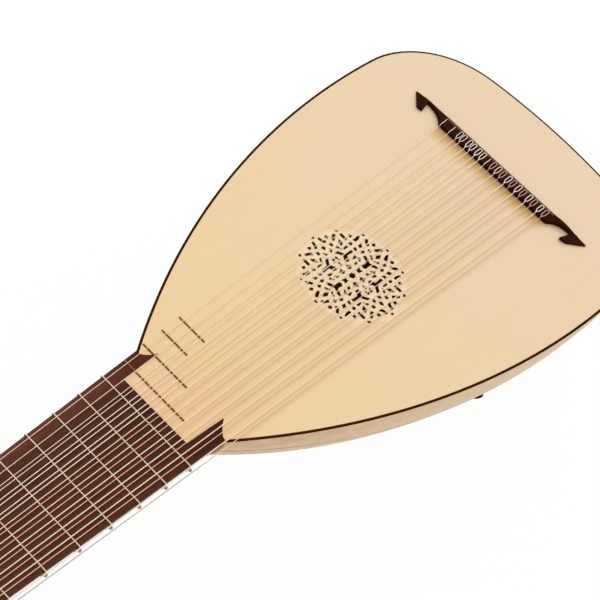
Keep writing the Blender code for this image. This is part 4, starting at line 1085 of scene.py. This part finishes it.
class LUTE_OT_strings(bpy.types.Operator):
    """Run the strings from the bridge over the nut to the pegs, and tie them at the bridge"""
    bl_idname = "lute.strings"
    bl_label = "Strings"

    def execute(self, context):
        slots = {row["node"]: row["material_slot"] for row in frame["record"]["subparts"]}
        ties = {"string_pale": [], "string_amber": []}
        for name, radius, at_bridge, at_nut, at_peg in read_strings():
            slot = slots[name]
            slope = (at_nut.x - at_bridge.x) / (at_nut.y - at_bridge.y)
            leave = Vector((at_nut.x + slope * 5, NECK_END_Y + 0.6, at_nut.z))
            bend = leave + Vector((0, 1.6, -0.5))
            start = at_bridge + (at_bridge - at_nut) / 700 * (BRIDGE_FRONT_Y - BRIDGE_BACK_Y - 2)
            run = [start] + [at_bridge.lerp(at_nut, k / 6) for k in range(7)]
            run += self.bent(leave, bend, bend.lerp(at_peg, 0.04)) + [at_peg]
            settle(cords("gut_" + name, [(run, radius, False)], slot), nodes=(name,))
            width = context.scene.lute_sizes.tie_width / MM / 2
            ties[slot] += self.tie(name, at_bridge, slope, radius, width)
        for slot, runs in ties.items():
            settle(cords("bridge_ties_" + slot[7:], runs, "tie_" + slot[7:]))
        return {"FINISHED"}

    def bent(self, first, middle, last):
        """A short curve round a bend."""
        return [first.lerp(middle, t).lerp(middle.lerp(last, t), t) for t in (0, 0.25, 0.5, 0.75, 1)]

    def tie(self, name, at_bridge, slope, radius, width):
        """The string's end, brought up over the bridge's front edge and looped on its top."""
        radius = min(max(radius, 0.32), 0.42)
        top = BRIDGE_TOP + radius * 0.9
        front = BRIDGE_FRONT_Y

        def spot(across, back, z):
            return (at_bridge.x - slope * back + across, front - back, z)

        rise = [spot(0, -radius - 0.1, at_bridge.z + radius * 0.5), spot(0, -radius - 0.3, BRIDGE_TOP - 0.3)]
        if name in SINGLE_TIES:
            over = [spot(0, 0.1, top + 0.15), spot(0.1, 2.5, top), spot(-0.1, 6.5, top), spot(0, 10.0, top),
                    spot(0, 10.6, top - 0.9)]
            return [(smooth_run(rise + over), radius, False)]
        runs = []
        for sign in (1, -1):
            over = [spot(sign * width * 0.15, 0.0, top + 0.15), spot(sign * width * 0.7, 2.0, top),
                    spot(sign * width, 4.2, top), spot(sign * width, 9.6, top),
                    spot(sign * width * 0.7, 11.1, top), spot(0, 11.6, top)]
            runs.append((smooth_run(rise + over), radius, False))
        return runs


class LUTE_OT_frets(bpy.types.Operator):
    """Tie the gut frets round the neck, each with its singed knot at the bass edge"""
    bl_idname = "lute.frets"
    bl_label = "Tied frets"

    def execute(self, context):
        radius = context.scene.lute_sizes.fret_radius / MM
        for number in range(1, sum(name.startswith("tied_fret_") for name in frame["nodes"]) + 1):
            body = f"tied_fret_{number}_body"
            y = (local(corner(f"tied_fret_{number}", 0)).y + local(corner(f"tied_fret_{number}", 1)).y) / 2
            treble, bass = board_edges(y)
            reach = radius + 0.3
            top = FINGERBOARD_TOP + radius + 0.05
            path = [(lerp(bass, treble, t / 4), y, top) for t in range(5)]
            path += self.round_edge(treble, y, top, 1, reach)
            path += neck_section(y, 30, reach)[1:-1]
            path += self.round_edge(bass, y, top, -1, reach)[::-1]
            settle(cords(f"gut_fret_{number}", [(path, radius, True)], "gut"), body,
                   (f"tied_fret_{number}",))
            knot = cords(f"fret_knot_{number}", self.knot(bass - 2.1, y + 0.5, -2.6, radius), "knot")
            settle(knot, body)
        return {"FINISHED"}

    def round_edge(self, edge, y, top, sign, reach):
        """Points round the fingerboard's edge, from its face to the neck."""
        turns = [math.pi * k / 10 for k in range(1, 6)]
        drop = top - reach
        points = [(edge + sign * reach * math.sin(turn), y, drop + reach * math.cos(turn)) for turn in turns]
        return points + [(edge + sign * reach, y, lerp(drop, RIM_Z, 0.6))]

    def knot(self, x, y, z, radius):
        """A pulled-tight knot with two short ends."""
        loop = []
        for k in range(36):
            t = math.tau * k / 36
            a = math.sin(t) + 2 * math.sin(2 * t)
            b = math.cos(t) - 2 * math.cos(2 * t)
            loop.append((x + 0.56 * a, y + 0.7 * b, z + 0.6 * b - 0.9 * math.sin(3 * t)))
        runs = [(loop, radius, True)]
        for sign in (1, -1):
            end = [(x, y + sign * 0.4, z), (x - 0.5, y + sign * 1.0, z + 0.2), (x - 0.9, y + sign * 1.3, z)]
            runs.append((end, radius * 0.75, False))
        return runs


class LUTE_OT_pegs(bpy.types.Operator):
    """Turn the pegs, with the string wound round each"""
    bl_idname = "lute.pegs"
    bl_label = "Pegs and windings"

    def execute(self, context):
        turns = context.scene.lute_sizes.winding_turns
        joints = {joint["name"]: joint for joint in frame["record"]["behaviour"]["joints"]}
        slots = {row["node"]: row["material_slot"] for row in frame["record"]["subparts"]}
        for number, row in enumerate(read_strings(), start=1):
            name, radius, _, _, at_peg = row
            peg = f"peg_{number:02d}"
            low, high = local(corner(peg, 0)), local(corner(peg, 1))
            side = 1 if high.x + low.x > 2 * PEGBOX_MIDDLE_X else -1
            tip, end = (low.x, high.x) if side > 0 else (high.x, low.x)
            shoulder = end - side * PEG_HEAD_LENGTH
            centre = local(joints[peg + "_turn"]["pos_m"])
            piece = add_mesh("turned_" + peg, *self.peg(centre, side, tip, shoulder), ["ebony"], smooth=50)
            settle(piece, peg + "_body", (peg,))
            shaft = lerp(*PEG_RADII, (at_peg.x - tip) / (shoulder - tip))
            winding = self.winding(centre, at_peg.x, shaft, radius, turns)
            settle(cords("peg_winding_" + peg[4:], [(winding, radius, False)], slots[name]),
                   peg + "_body")
        return {"FINISHED"}

    def peg(self, centre, side, tip, shoulder):
        stations = [(tip, 2.3, 2.3), (tip + side * 0.3, 2.9, 2.9), (tip + side * 0.9, 3.1, 3.1)]
        stations += [(lerp(tip, shoulder, share), *[lerp(*PEG_RADII, share)] * 2) for share in (0.3, 0.6, 1)]
        stations += [(shoulder + side * (reach + 0.02), wide, thick) for reach, wide, thick in PEG_HEAD]
        rings = []
        for x, wide, thick in stations:
            ring = []
            for k in range(28):
                turn = math.tau * k / 28
                offset = PEGBOX_DOWN * (wide * math.cos(turn)) + PEGBOX_FRONT * (thick * math.sin(turn))
                ring.append((x, centre.y + offset.y, centre.z + offset.z))
            rings.append(ring)
        return loft(rings)

    def winding(self, centre, x, shaft, radius, turns):
        """Turns of string side by side round the shaft, from beside where it arrives to its tucked end."""
        toward = 1 if x < PEGBOX_MIDDLE_X else -1
        reach = shaft + radius * 0.95
        count = int(turns * 16)
        run = []
        for k in range(count + 1):
            turn = math.tau * k / 16
            offset = PEGBOX_FRONT * (reach * math.cos(turn)) + PEGBOX_DOWN * (reach * math.sin(turn))
            across = x + toward * 2.1 * radius * (1 + turn / math.tau)
            run.append(Vector((across, centre.y, centre.z)) + offset)
        return run + [Vector((run[-1].x + toward * radius * 1.5, centre.y, centre.z))]


class LUTE_OT_stage(bpy.types.Operator):
    """Add the floor, the soft lamp, the surround and the camera"""
    bl_idname = "lute.stage"
    bl_label = "Stage"

    def execute(self, context):
        settings = context.scene.lute_stage
        scene = context.scene
        scene.view_settings.view_transform = "Standard"
        self.add_camera(scene, settings)
        self.add_floor()
        self.add_lamp(scene, settings)
        self.set_surround(scene, settings)
        return {"FINISHED"}

    def add_camera(self, scene, settings):
        camera = bpy.data.objects.new("camera", bpy.data.cameras.new("camera"))
        camera.data.lens = settings.lens
        camera.data.sensor_width = 36
        place = HOME + Vector((-353.9, 1181.8, 1171.4)) * MM
        forward = Vector((0.2352, -0.60454, -0.76106)).normalized()
        right = forward.cross(Vector((0.67741, -0.45955, 0.57439))).normalized()
        turn = Matrix((right, right.cross(forward), -forward)).transposed()
        camera.matrix_world = Matrix.Translation(place) @ turn.to_4x4()
        camera.data.clip_end = 20
        scene.collection.objects.link(camera)
        scene.camera = camera

    def add_floor(self):
        """A white floor that touches the bowl and the pegbox's end, and keeps the shadow."""
        bowl_low, box_low = corner("bowl", 0).z, corner("pegbox", 0).z
        bowl_y = HOME.y + WIDEST_Y * MM
        slope = (box_low - bowl_low) / (corner("pegbox", 0).y + 45 * MM - bowl_y)
        reach = 3.0
        mesh = bpy.data.meshes.new("floor")
        corners = ((-reach, -reach), (reach, -reach), (reach, reach), (-reach, reach))
        mesh.from_pydata([(x, y, bowl_low + slope * (y - bowl_y) - 1.5 * MM) for x, y in corners], [],
                         [(0, 1, 2, 3)])
        finish = Finish("floor", 0.9)
        finish.shader.inputs["Base Color"].default_value = (1, 1, 1, 1)
        glow = finish.node("ShaderNodeEmission").outputs[0]
        seen = finish.node("ShaderNodeMath", {0: self.seen(finish.tree), 1: 0.97}, operation="MULTIPLY")
        mixed = finish.node("ShaderNodeMixShader", {0: seen.outputs[0], 1: finish.shader.outputs[0], 2: glow})
        finish.tree.links.new(mixed.outputs[0], finish.tree.nodes["Material Output"].inputs["Surface"])
        mesh.materials.append(finish.made)
        add_object("floor", mesh)

    def seen(self, tree):
        """One where a ray comes from the camera, a gloss or a clear piece."""
        paths = tree.nodes.new("ShaderNodeLightPath")
        socket = paths.outputs["Is Camera Ray"]
        for other in ("Is Glossy Ray", "Is Transmission Ray"):
            most = tree.nodes.new("ShaderNodeMath")
            most.operation = "MAXIMUM"
            tree.links.new(socket, most.inputs[0])
            tree.links.new(paths.outputs[other], most.inputs[1])
            socket = most.outputs[0]
        return socket

    def add_lamp(self, scene, settings):
        lamp = bpy.data.objects.new("soft_lamp", bpy.data.lights.new("soft_lamp", "AREA"))
        lamp.data.shape = "DISK"
        lamp.data.size = 8.0
        lamp.data.energy = settings.lamp_power
        lamp.data.color = (0.93, 0.97, 1.0)
        lamp.location = HOME + Vector((1.0, -3.8, 5.0))
        aim = HOME + Vector((0, 0.2, 0)) - lamp.location
        lamp.rotation_euler = aim.to_track_quat("-Z", "Y").to_euler()
        scene.collection.objects.link(lamp)

    def set_surround(self, scene, settings):
        world = bpy.data.worlds.new("surround")
        scene.world = world
        world.use_nodes = True
        tree = world.node_tree
        back = tree.nodes["Background"]
        back.inputs["Color"].default_value = (1, 0.955, 0.88, 1)
        back.inputs["Strength"].default_value = settings.world_strength
        bright = tree.nodes.new("ShaderNodeBackground")
        mix = tree.nodes.new("ShaderNodeMixShader")
        tree.links.new(self.seen(tree), mix.inputs[0])
        tree.links.new(back.outputs[0], mix.inputs[1])
        tree.links.new(bright.outputs[0], mix.inputs[2])
        tree.links.new(mix.outputs[0], tree.nodes["World Output"].inputs["Surface"])


class LUTE_PT_panel(bpy.types.Panel):
    """The lute's tools in the sidebar"""
    bl_idname = "LUTE_PT_panel"
    bl_label = "Baroque Lute"
    bl_space_type = "VIEW_3D"
    bl_region_type = "UI"
    bl_category = "Lute"

    def draw(self, context):
        for step in STEPS:
            self.layout.operator(step.bl_idname)


STEPS = (LUTE_OT_woods, LUTE_OT_bowl, LUTE_OT_soundboard, LUTE_OT_neck, LUTE_OT_bridge, LUTE_OT_strings,
         LUTE_OT_frets, LUTE_OT_pegs, LUTE_OT_stage)
CLASSES = (LuteColours, LuteSizes, LuteStage, *STEPS, LUTE_PT_panel)


def register():
    for cls in CLASSES:
        bpy.utils.register_class(cls)
    bpy.types.Scene.lute_colours = PointerProperty(type=LuteColours)
    bpy.types.Scene.lute_sizes = PointerProperty(type=LuteSizes)
    bpy.types.Scene.lute_stage = PointerProperty(type=LuteStage)


def unregister():
    for name in ("lute_stage", "lute_sizes", "lute_colours"):
        delattr(bpy.types.Scene, name)
    for cls in reversed(CLASSES):
        bpy.utils.unregister_class(cls)


def main():
    register()
    bpy.ops.lute.woods()
    bpy.ops.lute.bowl()
    bpy.ops.lute.soundboard()
    bpy.ops.lute.neck()
    bpy.ops.lute.bridge()
    bpy.ops.lute.strings()
    bpy.ops.lute.frets()
    bpy.ops.lute.pegs()
    bpy.ops.lute.stage()


if __name__ == "__main__":
    main()
